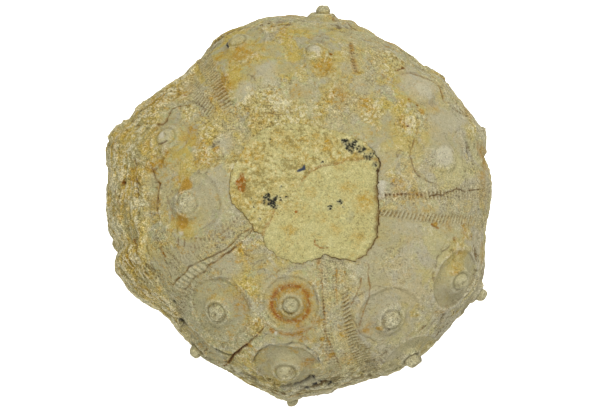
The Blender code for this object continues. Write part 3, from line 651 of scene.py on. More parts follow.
def largeForms(site, bandHeight, suture):
    # swelling waves + bands - plate lines, and the body of layered rock where it covers the shell
    x, y, z = (site.base / shell["girdleRadius"]).T
    lift = surfaceLook["swelling"] * np.sin(3.1 * x + 1.7 * z) * np.cos(3.7 * y - 0.8)
    lift = lift + bandHeight - surfaceLook["sutureDepth"] * suture
    rockBody = crust["thickness"] + 0.08 * site.streaks + 0.13 * site.folds
    rockBody = rockBody + 0.08 * roughNoise(site.base, 1.8, 3, 74)
    return lift * (1 - site.bossed) * (1 - 0.8 * site.crusted) + site.crusted * rockBody


def ruggedness(site):
    # how rough the stone is: more on rock, in bands and near the girdle, less on smooth patches and bowls
    edgeWard = smoothStep(site.tilt, 62, 80) * (1 - 0.7 * site.hidden)
    rugged = 0.50 + 0.55 * site.crusted * (1 - 0.5 * site.hidden) + 0.38 * edgeWard
    rugged = rugged + 0.25 * site.smear + 0.20 * site.inBand + 0.42 * softNoise(site.base, 3.2, 135)
    return np.clip(rugged - 0.34 * site.smooth - 0.24 * site.bowl, 0.18, 1.4)


def brokenForms(site):
    # thin lines where a rough noise crosses zero: hairline cracks anywhere, ledges in the layers near the
    # girdle, and slanting creases on the lower left
    base, tilt = site.base, site.tilt
    hairs = 1 - smoothStep(np.abs(roughNoise(wander(base, 0.3, 0.9, 133), 2.4, 3, 131)), 0.0, 0.05)
    hairs = hairs * smoothStep(softNoise(base, 2.6, 132), -0.1, 0.5)
    hairs = hairs * (1 - 0.6 * site.inBand) * (1 - 0.5 * site.bossed)
    shelf = roughNoise(site.layered * (1, 0.8, 0.8), 1.1, 3, 138) + 0.13 * softNoise(base, 0.42, 145)
    ledges = (1 - smoothStep(np.abs(shelf), 0.0, 0.07)) * smoothStep(tilt, 60, 68) * (1 - 0.8 * site.bossed)
    ledges = ledges * smoothStep(softNoise(base, 2.2, 139), -0.5, 0.2)
    ledges = ledges * (1 - 0.8 * site.inBand) * (1 - 0.6 * site.hidden)
    sideways = np.radians((site.lon - 30) % 360) * np.hypot(base[:, 0], base[:, 1])
    slant = np.stack([sideways + 0.35 * site.length, 0.20 * site.length, 0 * sideways], -1)
    creases = 1 - smoothStep(np.abs(roughNoise(slant, 0.62, 3, 144)), 0.0, 0.10)
    creases = creases * facing(site.lon, 209, 0.94, 0.985)
    creases = creases * smoothStep(tilt, 38, 46) * (1 - smoothStep(tilt, 72, 80))
    creases = creases * (1 - 0.8 * site.bowl) * (1 - site.knob) * (1 - site.ridgeWidth)
    return hairs, ledges, creases, facing(site.lon, 260, 0.70, 0.95) * (1 - site.hidden)


def grainRelief(site, masks):
    # fine noise + granules + chips near the girdle + crumbs + layers - broken lines + facets of worn
    # knobs + lumps + beads round the bosses; also starts the marks' darkness and rust at those lines
    look, base, tilt, share, ring = surfaceLook, site.base, site.tilt, site.share, site.ring
    fine, lumps = roughNoise(base, 0.42, 3, 62), roughNoise(base, 1.5, 4, 61)
    grains = 1 - np.clip((grainDistance(base, look["granuleSize"], 63) / 0.62) ** 2, 0, 1)
    crumbs = grainDistance(wander(base, 0.12, 0.4, 66), look["crumbSize"], 67)
    crumbs = 1 - np.clip(crumbs * 1.7, 0, 1.5)
    granular = smoothStep(softNoise(base, 2.2, 64) + 0.6 * softNoise(base, 0.8, 68), -0.5, 0.5)
    rugged = ruggedness(site)
    calm = 0.80 * site.knob * (1 - site.wear) + 0.55 * site.bowl + 0.65 * site.smooth
    calm = np.clip(calm, 0, 0.85) * (1 - site.crusted)
    small = look["grain"] * fine * (1 - 0.6 * calm) * (1 - 0.35 * site.inBand) * (0.45 + 0.65 * rugged)
    small += look["granules"] * grains * granular * (1 - calm) * (1 - 0.8 * site.inBand)
    chips = look["chips"] * (0.45 - grainDistance(wander(base, 0.25, 0.8, 136), look["chipSize"], 137))
    chips = chips * smoothStep(tilt, 66, 76) * (1 - 0.85 * site.hidden) * (1 - 0.85 * site.bossed)
    small += chips * (0.5 + 1.6 * facing(site.lon, 255, 0.6, 0.95))
    small += site.smear * (look["smearRise"] * (0.6 + 0.6 * site.patchy) + look["crumbs"] * crumbs)
    layers = look["layers"] * (0.6 * site.streaks + 0.7 * site.folds) * (0.15 + 0.85 * site.crusted)
    small += layers * smoothStep(tilt, 55, 68) * (1 - 0.7 * site.bowl)
    hairs, ledges, creases, front = brokenForms(site)
    ledgeDepth = look["ledgeDepth"] + look["frontLedges"] * front
    small -= look["hairDepth"] * hairs + ledgeDepth * ledges + look["creaseDepth"] * creases
    broke = site.knob * smoothStep(site.wear, 0.2, 0.4) * (1 - smoothStep(site.wear, 0.52, 0.6))
    facets = grainDistance(wander(base, 0.15, 0.5, 142), look["facetSize"], 143)
    small += broke * look["facets"] * (0.5 - facets)
    level = small - look["smearRise"] * 0.6 * site.smear
    # relief: level of the fine relief, which the grain turns into painted shade in low spots and painted
    # highlight on high spots
    masks["relief"] = np.clip(0.5 + (2.6 + 1.5 * rugged) * level, 0, 1)
    masks["rugged"] = rugged
    coarse = look["lumps"] * lumps * (1 - 0.75 * calm) * (1 - 0.5 * site.inBand) * (0.6 + 0.4 * rugged)
    count = np.round(2 * np.pi * look["beadRing"] * ring / look["beadPitch"])
    beads = bell((share - look["beadRing"]) * ring, 0.24) * (0.5 + 0.5 * np.cos(site.angle * count))
    small += coarse + look["ringBeads"] * beads * site.clear * (0.3 + 0.7 * granular) * (1 - site.inBand)
    edgeLumps = look["edgeLumps"] * roughNoise(base, 1.3, 3, 111)
    small += edgeLumps * smoothStep(tilt, 70, 84) * (1 - 0.8 * site.bossed)
    # dark: the hairlines' crack colour, and painted shade in the ledges' steps and the creases' grooves, more
    # on the front
    dark = np.maximum(np.maximum(0.22 * hairs, (0.42 + 0.30 * front) * ledges), 0.34 * creases)
    rust = 0.3 * ledges * smoothStep(softNoise(base, 3.0, 140), -0.2, 0.4)
    return dict(height=small, dark=dark, rust=rust, black=np.zeros(len(base)))


def press(marks, shape, depth, tone, shade):
    # sinks a mark into the surface and takes the darker of its shade and what is there
    marks["height"] = marks["height"] - depth * shape
    marks[tone] = np.maximum(marks[tone], shade)


def drawnMarks(site, marks):
    # lines, pits, rows of dots and faint grooves from the tables, each fading across its own width;
    # those without rust are black
    for name, (places, width, depth, darkness, rustiness) in lines.items():
        away = lineDistance(site.jitter, places)
        whole = 0.8 if name in unbrokenLines else 0
        line = (1 - smoothStep(away, width * 0.4, width * 1.1)) * (whole + (1 - whole) * site.broken)
        press(marks, line, depth, "dark" if rustiness else "black", line * darkness)
        around = 0.8 * (1 - smoothStep(away, width * 0.6, width * 1.7)) * rustiness * site.broken
        marks["rust"] = np.maximum(marks["rust"], around)
    # breaks the black pits into specks
    speckled = smoothStep(softNoise(site.base, 0.30, 86), -0.35, 0.1)
    for *place, radius, depth, darkness, rustiness in pits:
        pit = spotMask(site.jitter, place, radius * 1.15, 0.6)
        tone, shade = ("dark", pit * darkness) if rustiness else ("black", pit * darkness * speckled)
        press(marks, pit, depth, tone, shade)
        marks["rust"] = np.maximum(marks["rust"], spotMask(site.jitter, place, radius * 2.0, 0.8) * rustiness)
    for places, width, pitch, depth, darkness, rustiness in dottedRows.values():
        away, run = lineDistance(site.base, places, True)
        dots = 1 - smoothStep(away, width * 0.5, width * 1.15)
        dots = dots * smoothStep(np.cos(2 * np.pi * run / pitch), -0.3, 0.6) * (0.6 + 0.4 * site.broken)
        press(marks, dots, depth, "dark", dots * darkness)
        around = rustiness * 0.6 * (1 - smoothStep(away, width, width * 2.6)) * site.broken
        marks["rust"] = np.maximum(marks["rust"], around)
    for places, width, depth, darkness in fineLines:
        away = lineDistance(site.jitter, places)
        line = (1 - smoothStep(away, width * 0.3, width * 1.2)) * site.broken
        press(marks, line, depth, "dark", line * darkness)


def ironMarks(site, marks):
    # gold, ochre and rust: soft spots from the tables, and rings of rust round one boss of the front
    gold, ochre, rust = np.zeros(len(site.lon)), np.zeros(len(site.lon)), marks["rust"]
    for (spot,) in eachSpot(site.jitter, goldSpots, 0.35, 1.15):
        gold = np.maximum(gold, spot)
    for spot, amount, rustiness in eachSpot(site.spread, stains, 0.8):
        ochre = np.maximum(ochre, spot * amount)
        rust = np.maximum(rust, spot**2 * rustiness)
    fromRing = site.share * site.ring - rustRing["radius"] + 0.12 * softNoise(site.base, 1.5, 96)
    stained = spotMask(site.base, rustRing["centre"], rustRing["reach"], 0.3)
    heavy = 0.85 + 0.15 * np.cos(np.radians(2 * (site.lon - 244)))
    patchy = 0.85 + 0.25 * softNoise(site.base, 0.9, 95)
    rust = np.maximum(rust, 1.20 * bell(fromRing, 0.22) * stained * heavy * patchy)
    ochre = np.maximum(ochre, 1.2 * bell(fromRing + 0.10, 0.60) * stained)
    outer = bell(site.share * site.ring - rustRing["outerRadius"], 0.18) * stained
    outer = outer * facing(site.lon, rustRing["centre"][0], 0.96, 1.0)
    rust = np.maximum(rust, 0.8 * outer * smoothStep(site.tilt, 44, 48))
    return dict(gold=gold, ochre=np.maximum(ochre, 1.2 * rust), rust=np.clip(rust, 0, 1))


def colourMasks(site):
    # where each paint shows: rings at set distances from a boss axis, among them painted shade and painted
    # highlight, sides of the shell, rock and rim
    def ringAt(share, width):
        return bell((site.share - share) * site.ring, width)

    x, y = site.base[:, 0], site.base[:, 1]
    clean, sharp = 1 - site.smear, (1 - site.wear) * (1 - site.smear)
    opened = smoothStep(curveThrough(shell["crackWidth"], site.lon, 360), 0.02, 0.12) * (site.base[:, 2] > 0)
    paleRing = 0.30 * bell(site.share - 1.05, 0.05) * site.clear * (1 - 0.5 * site.wear)
    rightward = smoothStep(x + 2.0 * softNoise(site.base, 5.0, 112) - 0.45 * y, 3, 15)
    lowerLeft = np.cos(np.radians(site.lon - 226)) + 0.2 * softNoise(site.base, 4.0, 141)
    return dict(
        rim=bell(site.toHole, 0.20) * opened * (0.55 + 0.45 * softNoise(site.base, 0.7, 134)),
        pale=np.clip(site.pale + paleRing, 0, 1),
        areole=np.clip(site.bowl * smoothStep(site.clear, 0.25, 1.0) + site.smooth, 0, 1) * clean,
        # neck: painted shade in the groove round the foot of each knob
        neck=ringAt(0.350, 0.12) * sharp,
        # crest: painted highlight on the rim of each knob's platform
        crest=ringAt(0.415, 0.14) * sharp,
        # foot: painted shade in the hollow round each boss's cone
        foot=ringAt(0.60, 0.40) * (1 - 0.8 * site.wear) * clean,
        # areole edge: painted shade at the foot of each bowl's outer wall, in thin broken arcs
        areoleEdgeShade=ringAt(0.955, 0.13) * np.clip(site.clear, 0, 1) * clean * site.broken,
        cool=(1 - 0.5 * site.inBand * (site.lon > 200)) * rightward * (1 - 0.6 * site.smear),
        knob=(1 - smoothStep(site.share, 0.24, 0.36)) * (1 - 0.3 * site.wear) * clean,
        crust=site.crusted,
        smear=site.smear * (1 - site.crusted),
        ash=smoothStep(lowerLeft, 0.76, 1.0) * smoothStep(site.tilt, 36, 56) * (1 - 0.6 * site.smear),
    )


def shellSurface(lon, tilt, beyond):
    # point = ball point + normal * (large forms + grain and marks) + outward axis * boss height; beyond
    # tells how far a point lies past its piece's own edge, where it dives under the neighbour
    site = shellSite(lon, tilt)
    site.toHole = np.hypot(site.base[:, 0], site.base[:, 1]) - holeRadius(site.lon)
    site.ridgeWidth, ridgeBead = ridgeBeads(site)
    masks = {}
    bandHeight, site.inBand = bandRelief(site, masks)
    looseRock(site)
    rockLayers(site)
    masks["suture"] = plateLines(site)
    marks = grainRelief(site, masks)
    drawnMarks(site, marks)
    # painted highlight on the lower left band's ridge and its ribs
    masks["ridge"] = np.maximum(masks["ridge"], ridgeBead + 0.3 * site.ridgeWidth)
    sunkRibs = ridgeBead - 0.4 * site.ridgeWidth * smoothStep(site.tilt, 38, 43)
    ribbed = surfaceLook["ridgeRise"] * site.ridgeWidth + surfaceLook["ridgeBeads"] * sunkRibs
    masks.update(ironMarks(site, marks), dark=marks["dark"], black=marks["black"])
    masks.update(colourMasks(site))
    height = largeForms(site, bandHeight, masks["suture"]) + (marks["height"] + ribbed)
    height = height - surfaceLook["settle"] - surfaceLook["dive"] * beyond
    outward = unit(site.bossAxis * site.bossed[:, None] + site.normal * (1 - site.bossed)[:, None])
    return site.base + site.normal * height[:, None] + outward * site.bossLift[:, None], masks


def holeRadius(lon):
    # distance from the pole axis to the upper hole's outline: straight between its knots, with waves
    a, r = np.radians([k[0] for k in shell["holeOutline"]]), np.array([k[1] for k in shell["holeOutline"]])
    x, y = shell["holeCentre"][0] + r * np.cos(a), shell["holeCentre"][1] + r * np.sin(a)
    around = np.degrees(np.arctan2(y, x)) % 360
    order = np.argsort(around)
    turn = np.radians(lon)
    ragged = 0.05 * np.sin(turn * 47) + 0.04 * np.sin(turn * 83 + 1) + 0.03 * np.sin(turn * 131)
    return np.interp(np.mod(lon, 360), around[order], np.hypot(x, y)[order], period=360) + ragged


def lowerRadius(lon):
    # distance from the pole axis to the lower hole's outline: a circle with five low lobes
    return shell["lowerHoleRadius"] + shell["lowerHoleLobes"] * np.cos(np.radians(5 * (lon - 36)))


def crackWidth(lon):
    # width of the crack between rock and shell
    return curveThrough(shell["crackWidth"], lon, 360)


def heightAt(radius, depth):
    # height of the ball's surface: depth * (1 - (radius / girdle radius)^n)^(1/n)
    n = shell["squareness"]
    return depth * (1 - (radius / shell["girdleRadius"]) ** n) ** (1 / n)


def rimTilts(lon):
    # tilts at which the ball's surface reaches the upper and the lower hole
    top = holeRadius(lon) + 0.5 * crackWidth(lon)
    low = lowerRadius(lon) + holeGap
    upper = np.degrees(np.arctan2(top, heightAt(top, shell["crownHeight"])))
    return upper, 180 - np.degrees(np.arctan2(low, heightAt(low, shell["undersideDepth"])))


def toFrame(points):
    # moves points from the shell's own space to the frame, and turns millimetres into metres
    return (points + np.array([shell["poleX"], shell["poleY"], shell["girdleZ"]])) * 0.001


def gridFaces(rows, columns, closedRows):
    # quads between neighbouring rows and columns of a grid, whose rows or columns go round in a ring
    r, c = np.arange(rows if closedRows else rows - 1), np.arange(columns - 1 if closedRows else columns)
    r, c = np.meshgrid(r, c, indexing="ij")
    below, beside = (r + 1) % rows * columns, (c + 1) % columns
    return np.stack([r * columns + c, below + c, below + beside, r * columns + beside], -1).reshape(-1, 4)


def meshFrom(name, points, quads, triangles, masks, flatTriangles):
    # builds a mesh from whole arrays, turned outwards by the sign of its volume
    a, b, c, d = (points[quads[:, i]] for i in range(4))
    e, f, g = (points[triangles[:, i]] for i in range(3))
    volume = sum(np.einsum("ij,ij->", p, np.cross(q, r)) for p, q, r in ((a, b, c), (a, c, d), (e, f, g)))
    if volume < 0:
        quads, triangles = quads[:, ::-1], triangles[:, ::-1]
    mesh = bpy.data.meshes.new(name)
    mesh.vertices.add(len(points))
    mesh.vertices.foreach_set("co", toFrame(points).astype(np.float32).ravel())
    corners = np.concatenate([quads.ravel(), triangles.ravel()]).astype(np.int32)
    sizes = np.concatenate([np.full(len(quads), 4), np.full(len(triangles), 3)])
    mesh.loops.add(len(corners))
    mesh.loops.foreach_set("vertex_index", corners)
    mesh.polygons.add(len(sizes))
    mesh.polygons.foreach_set("loop_start", (np.cumsum(sizes) - sizes).astype(np.int32))
    mesh.update(calc_edges=True)
    smooth = np.concatenate([np.ones(len(quads), bool), np.full(len(triangles), not flatTriangles)])
    mesh.polygons.foreach_set("use_smooth", smooth)
    for mask, values in masks.items():
        attribute = mesh.attributes.new(mask, "FLOAT", "POINT")
        attribute.data.foreach_set("value", values.astype(np.float32))
    mesh.validate()
    made = bpy.data.objects.new(name, mesh)
    bpy.context.scene.collection.objects.link(made)
    return made


def rowEdge(edge, shares):
    # longitude of a slice's edge in each row: the row's tilt and the rims there are found in turn
    tilt = np.full(len(shares), 60.0)
    for _ in range(6):
        top, bottom = rimTilts(edge(tilt))
        tilt = top + (bottom - top) * shares
    return edge(tilt)[:, None]


sliceShape = dict(  # millimetres; dense rows reach down to denseShare of the way from rim to rim
    denseShare=0.60, overlap=0.03, degreeLength=0.36, rowStep=0.10, wearDepth=0.05, wearReach=0.12,
    topWall=(0.45, 1.2, 3.0, 7.0), lowWall=(0.5, 2.0, 6.0), wallLean=0.06, cutCentre=(0.9, 0.9, 1),
)


def shellPiece(name, edgeLeft, edgeRight, columns, dense, sparse):
    # one slice of the shell from rim to rim: a grid over the outside and down both holes' walls,
    # closed by a fan of triangles on each cut side
    share = sliceShape["denseShare"]
    shares = np.concatenate([np.linspace(0, share, dense, endpoint=False), np.linspace(share, 1, sparse)])
    across = np.linspace(0, 1, columns)[None]
    left, right = rowEdge(edgeLeft, shares), rowEdge(edgeRight, shares)
    lon = left + (right - left) * across
    top, bottom = rimTilts(lon)
    tilt = top + (bottom - top) * shares[:, None]
    width = (right - left) * np.sin(np.radians(tilt)) * sliceShape["degreeLength"]
    stretch = 1 + 2 * sliceShape["overlap"] / width
    lon = lon + (across - 0.5) * (stretch - 1) * (right - left)
    beyond = np.maximum(np.abs(across - 0.5) * width * stretch - 0.5 * width, 0)
    points, masks = shellSurface(lon.ravel(), tilt.ravel(), beyond.ravel())
    grid = points.reshape(len(shares), columns, 3)
    worn = bell(np.arange(len(shares)) * sliceShape["rowStep"], sliceShape["wearReach"])
    grid[..., 2] -= (worn * sliceShape["wearDepth"])[:, None]
    wallTop = []
    for down in sliceShape["topWall"][::-1]:
        inward = unit(grid[0] * (1, 1, 0)) * sliceShape["wallLean"] * min(down, 1)
        wallTop.append(grid[0] + inward + (0, 0, -down))
    wallLow = [grid[-1] + (0, 0, up) for up in sliceShape["lowWall"]]
    rows = np.concatenate([wallTop, grid, wallLow])
    total, points = len(rows), rows.reshape(-1, 3)
    fans, centres = [], []
    for column in (0, columns - 1):
        loop = np.arange(total) * columns + column
        centres.append(rows[:, column].mean(0) * sliceShape["cutCentre"])
        middle = len(points) + len(centres) - 1
        fan = np.stack([loop, np.roll(loop, -1), np.full(total, middle)], -1)
        fans.append(fan if column else fan[:, ::-1])
    walls = ((len(wallTop), len(wallLow)), (0, 0))
    for mask, values in masks.items():
        padded = np.pad(values.reshape(grid.shape[:2]), walls, mode="edge")
        masks[mask] = np.append(padded.ravel(), [0, 0])
    masks["wall"] = np.append(np.pad(np.zeros(grid.shape[:2]), walls, constant_values=1).ravel(), [1, 1])
    points = np.concatenate([points, centres])
    return meshFrom(name, points, gridFaces(total, columns, True), np.concatenate(fans), masks, True)


def bandEdge(band, side, turns=0):
    # longitude of a band's edge at each tilt: midline + side * half width, and whole turns more
    return lambda tilt: bandMiddle(band, tilt) + side * bandAngle(band, tilt) + 360 * turns


rock = dict(
    rings=112, rimRings=24, columns=300, footRings=40,
    raised=0.10, swelling=0.08, lumps=0.070, grain=0.048, granules=0.040, holeDepth=0.05, rimWear=0.07,
    walls=[(0.22, 0), (1.2, 0), (3.6, 0), (14.0, 0.5), (24.5, 1), (27.5, 1)],  # down, share of the lower hole
    footEdge=[(0.985, 0.30), (0.965, 0.20), (0.935, 0.10)],  # share of the foot's radius, height over it
    flakeEdge=[(-4.6, -5.1), (-4.07, -3.76), (-3.42, -2.67), (-2.9, -1.5), (-1.6, -0.1), (0.05, 1.39),
               (0.82, 2.38), (2.12, 3.04), (4.63, 3.7), (8.8, 4.0)],
    flakeEnd=(-1.6, -0.4), flakeDrop=0.10, hookDepth=0.12, hookLowDepth=0.08,
    blackSpecks=[  # x, y, radius, strength
        (4.7, 5.7, 0.75, 0.9), (5.5, 5.5, 0.8, 0.9), (6.3, 4.9, 0.7, 0.7), (7.2, 4.2, 0.7, 0.85),
        (7.9, 3.3, 0.55, 0.9), (8.4, 2.6, 0.4, 1.0), (5.3, 4.8, 0.6, 0.6), (6.0, 4.4, 0.5, 0.5),
        (-3.9, -0.35, 0.65, 1.1), (-3.4, -1.0, 0.7, 1.0), (-2.9, -0.6, 0.55, 0.8), (-2.3, -0.5, 0.35, 0.6),
        (-2.34, 0.73, 0.22, 1.0), (-1.7, -0.4, 0.35, 0.7), (-5.5, -0.6, 0.4, 0.5), (-5.25, -1.35, 0.4, 0.5),
        (-4.6, -2.78, 0.28, 0.7), (2.13, 3.37, 0.22, 0.9), (-3.55, 6.12, 0.25, 0.6), (4.1, -0.9, 0.45, 0.7),
        (3.0, -1.46, 0.38, 0.65), (0.85, 2.7, 0.3, 0.6), (4.6, -1.4, 0.3, 0.6), (-3.0, -1.3, 0.5, 0.8),
        (-4.3, -0.9, 0.45, 0.7), (6.7, 5.1, 0.5, 0.8), (5.0, 5.2, 0.5, 0.9), (7.6, 4.6, 0.4, 0.7),
        (-4.6, -1.9, 0.5, 0.35),
    ],
    blueSpeck=[(-0.38, 2.49), (0.16, 2.93)],
    greySpots=[(5.38, -2.2, 0.5, 0.5), (5.1, -2.8, 0.5, 0.4)],
    rustSpot=[(-6.95, 1.3), (-6.55, 1.95), (-6.35, 1.5), (-6.5, 1.0), (-6.65, 0.6)],
    hook=[(1.36, -4.97), (1.36, -5.51), (1.9, -5.84), (2.77, -5.84)],
    hookLow=[(1.03, -5.18), (1.2, -5.7), (1.36, -6.17)],
    smallRust=(-0.71, -1.9),
    ochrePatches=[(6.7, -0.9, 1.7, 0.8), (2.0, -2.6, 1.0, 0.6), (4.9, 0.6, 1.2, 0.5), (0.9, 0.2, 0.9, 0.5),
                  (3.6, -3.8, 1.0, 0.5), (-1.4, -4.0, 1.0, 0.5), (6.0, -4.6, 1.2, 0.5),
                  (3.0, 5.4, 1.6, 0.6), (1.7, 5.2, 1.0, 0.5), (-5.5, 4.5, 2.2, 0.4), (-2.5, 6.3, 1.8, 0.4),
                  (-3.3, -2.3, 0.9, 0.4), (5.2, 4.2, 1.2, 0.35), (0.2, -2.2, 1.2, 0.2)],
)


def flatDistance(x, y, places):
    # signed distance to a chain of points in the plane, positive to its right, and the plain distance
    p = np.stack([x, y], -1)
    nearest, signed = np.full(x.shape, 99.0), np.full(x.shape, 99.0)
    chain = np.array(places, float)
    for a, b in zip(chain, chain[1:]):
        along = b - a
        t = np.clip((p - a) @ along / (along @ along), 0, 1)
        away = np.linalg.norm(p - a - t[..., None] * along, axis=-1)
        turn = (p[..., 0] - a[0]) * along[1] - (p[..., 1] - a[1]) * along[0]
        closer = away < nearest
        signed = np.where(closer, np.sign(turn) * away, signed)
        nearest = np.where(closer, away, nearest)
    return signed, nearest


def flatSpots(x, y, spots, core):
    # greatest of soft round spots in the plane, each fading from its core to its radius
    total = np.zeros(x.shape)
    for spotX, spotY, radius, amount in spots:
        away = np.hypot(x - spotX, y - spotY)
        total = np.maximum(total, (1 - smoothStep(away, radius * core, radius)) * amount)
    return total


def fromFlake(x, y):
    # distance from the middle of the broken flake's faint end
    return np.hypot(x - rock["flakeEnd"][0], y - rock["flakeEnd"][1])


def rockTop(x, y):
    # dome of the shell, raised a little and roughened, with a smooth flake broken out of it
    z = heightAt(np.hypot(x, y), shell["crownHeight"])
    p = np.stack([x, y, 0 * x], -1)
    signed, _ = flatDistance(x, y, rock["flakeEdge"])
    flake = smoothStep(signed, -0.05, 0.12) * (1 - 0.75 * smoothStep(-fromFlake(x, y), -2.2, -1.0))
    rough = roughNoise(p, 1.4, 4, 201)
    fine = roughNoise(p * (1, 1.5, 1), 0.42, 3, 202)
    z = z + rock["raised"] + rock["swelling"] * softNoise(p, 5.0, 203) - rock["flakeDrop"] * flake
    z = z + (1 - 0.65 * flake) * rock["lumps"] * rough + (1 - 0.35 * flake) * rock["grain"] * fine
    holes = 1 - smoothStep(grainDistance(p, 1.5, 204), 0.05, 0.12)
    z = z - rock["holeDepth"] * holes * (1 - 0.6 * flake)
    grains = 1 - np.clip(grainDistance(wander(p, 0.1, 0.3, 218), 0.36, 219) * 1.6, 0, 1.4)
    z = z + rock["granules"] * grains * (1 - 0.85 * flake) * smoothStep(softNoise(p, 1.6, 220), -0.7, 0.3)
    fine = fine + 0.55 * (grains - 0.2) * (1 - 0.85 * flake)
    for name in ("hook", "hookLow"):
        _, away = flatDistance(x, y, rock[name])
        z = z - rock[name + "Depth"] * (1 - smoothStep(away, 0.04, 0.14))
    # relief: level of the rough and fine relief, which the grain turns into painted shade in low spots and
    # painted highlight on high spots
    relief = np.clip(0.5 + (1 - 0.6 * flake) * (0.10 * rough + 0.42 * fine), 0, 1)
    # hole marks the small pits, which the paint darkens as painted shade
    return z, dict(flake=flake, relief=relief, hole=holes)


def rockStains(x, y, lon, toRim):
    # stains of the rock: spots and lines from the dictionary, drawn on points moved by soft noise
    p = np.stack([x, y, 0 * x], -1)
    jx, jy = x + 0.16 * softNoise(p, 0.45, 211), y + 0.16 * softNoise(p, 0.45, 212)
    black = flatSpots(jx, jy, rock["blackSpecks"], 0.3)
    grey = np.maximum(0.65 * smoothStep(black, 0.1, 0.9), flatSpots(jx, jy, rock["greySpots"], 0.3))
    crumbs = 1 - np.clip(grainDistance(wander(p, 0.10, 0.25, 213), 0.26, 216) * 1.30, 0, 1)
    black = smoothStep(black * (0.30 + 1.5 * crumbs), 0.36, 0.66)
    drawn = (rock["blueSpeck"], rock["rustSpot"], rock["flakeEdge"])
    toSpeck, toRust, toEdge = (flatDistance(jx, jy, places)[1] for places in drawn)
    rust = 1 - smoothStep(toRust, 0.30, 0.46)
    rust = np.maximum(rust, 0.8 * (1 - smoothStep(flatDistance(x, y, rock["hook"])[1], 0.05, 0.13)))
    edgeLine = (1 - smoothStep(toEdge, 0.05, 0.22)) * smoothStep(fromFlake(x, y), 1.2, 2.4)
    rust = np.maximum(rust, 0.5 * edgeLine)
    small = np.hypot(jx - rock["smallRust"][0], jy - rock["smallRust"][1])
    rust = np.maximum(rust, 1 - smoothStep(small, 0.08, 0.24))
    opened = smoothStep(crackWidth(lon), 0.02, 0.16)
    rim = bell(toRim, 0.15 + 0.22 * facing(lon, 355, 0.82, 0.96)) * opened
    rim = rim * (0.6 + 0.4 * softNoise(p, 0.6, 217))
    return dict(black=black, blue=1 - smoothStep(toSpeck, 0.12, 0.26), rust=rust, grey=grey, rim=rim,
                ochre=flatSpots(jx, jy, rock["ochrePatches"], 0.2))


def rockPiece():
    # polar grid: rings from the middle to the rim, down the column's side and in under its foot
    columns, rimRings = rock["columns"], rock["rimRings"]
    lon = np.arange(columns) * 360 / columns
    turn, gap = np.radians(lon), crackWidth(lon)
    rim, low = holeRadius(lon) - 0.5 * gap, lowerRadius(lon) - holeGap
    shares = [np.linspace(0.012, 0.93, rock["rings"] - rimRings), np.linspace(0.935, 1, rimRings)]
    shares = np.concatenate(shares)[:, None]
    x, y = shares * rim * np.cos(turn), shares * rim * np.sin(turn)
    z, masks = rockTop(x.ravel(), y.ravel())
    edge = (1 - shares) * rim
    z = z.reshape(x.shape) - rock["rimWear"] * bell(edge, 0.10) * smoothStep(gap, 0, 0.08)
    rest = -shell["undersideDepth"] - shell["rockProud"]
    walls = []
    for down, share in rock["walls"]:
        radius = (rim * (1 - share) + low * share) + (gap if down < 1 else -0.04)
        height = 0 * turn + z[-1].mean() - down
        walls.append(np.stack([radius * np.cos(turn), radius * np.sin(turn), height], -1))
    walls[0][:, 2] = z[-1] - rock["walls"][0][0]
    walls[-1][:, 2] = rest + 0.55
    feet = []
    for share, rise in rock["footEdge"] + [(s, 0) for s in np.linspace(0.90, 0.02, rock["footRings"])]:
        footX, footY = low * share * np.cos(turn), low * share * np.sin(turn)
        place = np.stack([footX, footY, 0 * footX + 40], -1)
        pitted = 0.10 * roughNoise(place, 1.1, 4, 221) + 0.05 * roughNoise(place, 0.4, 2, 222)
        feet.append(np.stack([footX, footY, rest + rise + np.clip(pitted, 0, None)], -1))
    rows = np.concatenate([np.stack([x, y, z], -1), walls, feet])
    points = np.concatenate([rows.reshape(-1, 3), [rows[0].mean(0), rows[-1].mean(0)]])
    c, last = np.arange(columns), (len(rows) - 1) * columns
    after = (c + 1) % columns
    upper = np.stack([c, after, np.full(columns, len(points) - 2)], -1)
    lower = np.stack([last + after, last + c, np.full(columns, len(points) - 1)], -1)
    masks.update(rockStains(x.ravel(), y.ravel(), np.broadcast_to(lon, x.shape).ravel(), edge.ravel()))
    for mask, values in masks.items():
        masks[mask] = np.pad(values, (0, len(points) - len(values)))
    wallEnd = x.size + 5 * columns
    masks["relief"][wallEnd:] = 0.5
    masks["wall"] = np.zeros(len(points))
    masks["wall"][x.size:wallEnd] = 1
    quads = gridFaces(len(rows), columns, False)
    return meshFrom("rockFill", points, quads, np.concatenate([upper, lower]), masks, False)


def paint(red, green, blue):
    # a colour given in 0..255, as the linear values that a shader takes
    c = np.array([red, green, blue]) / 255
    return (*np.where(c <= 0.04045, c / 12.92, ((c + 0.055) / 1.055) ** 2.4), 1.0)


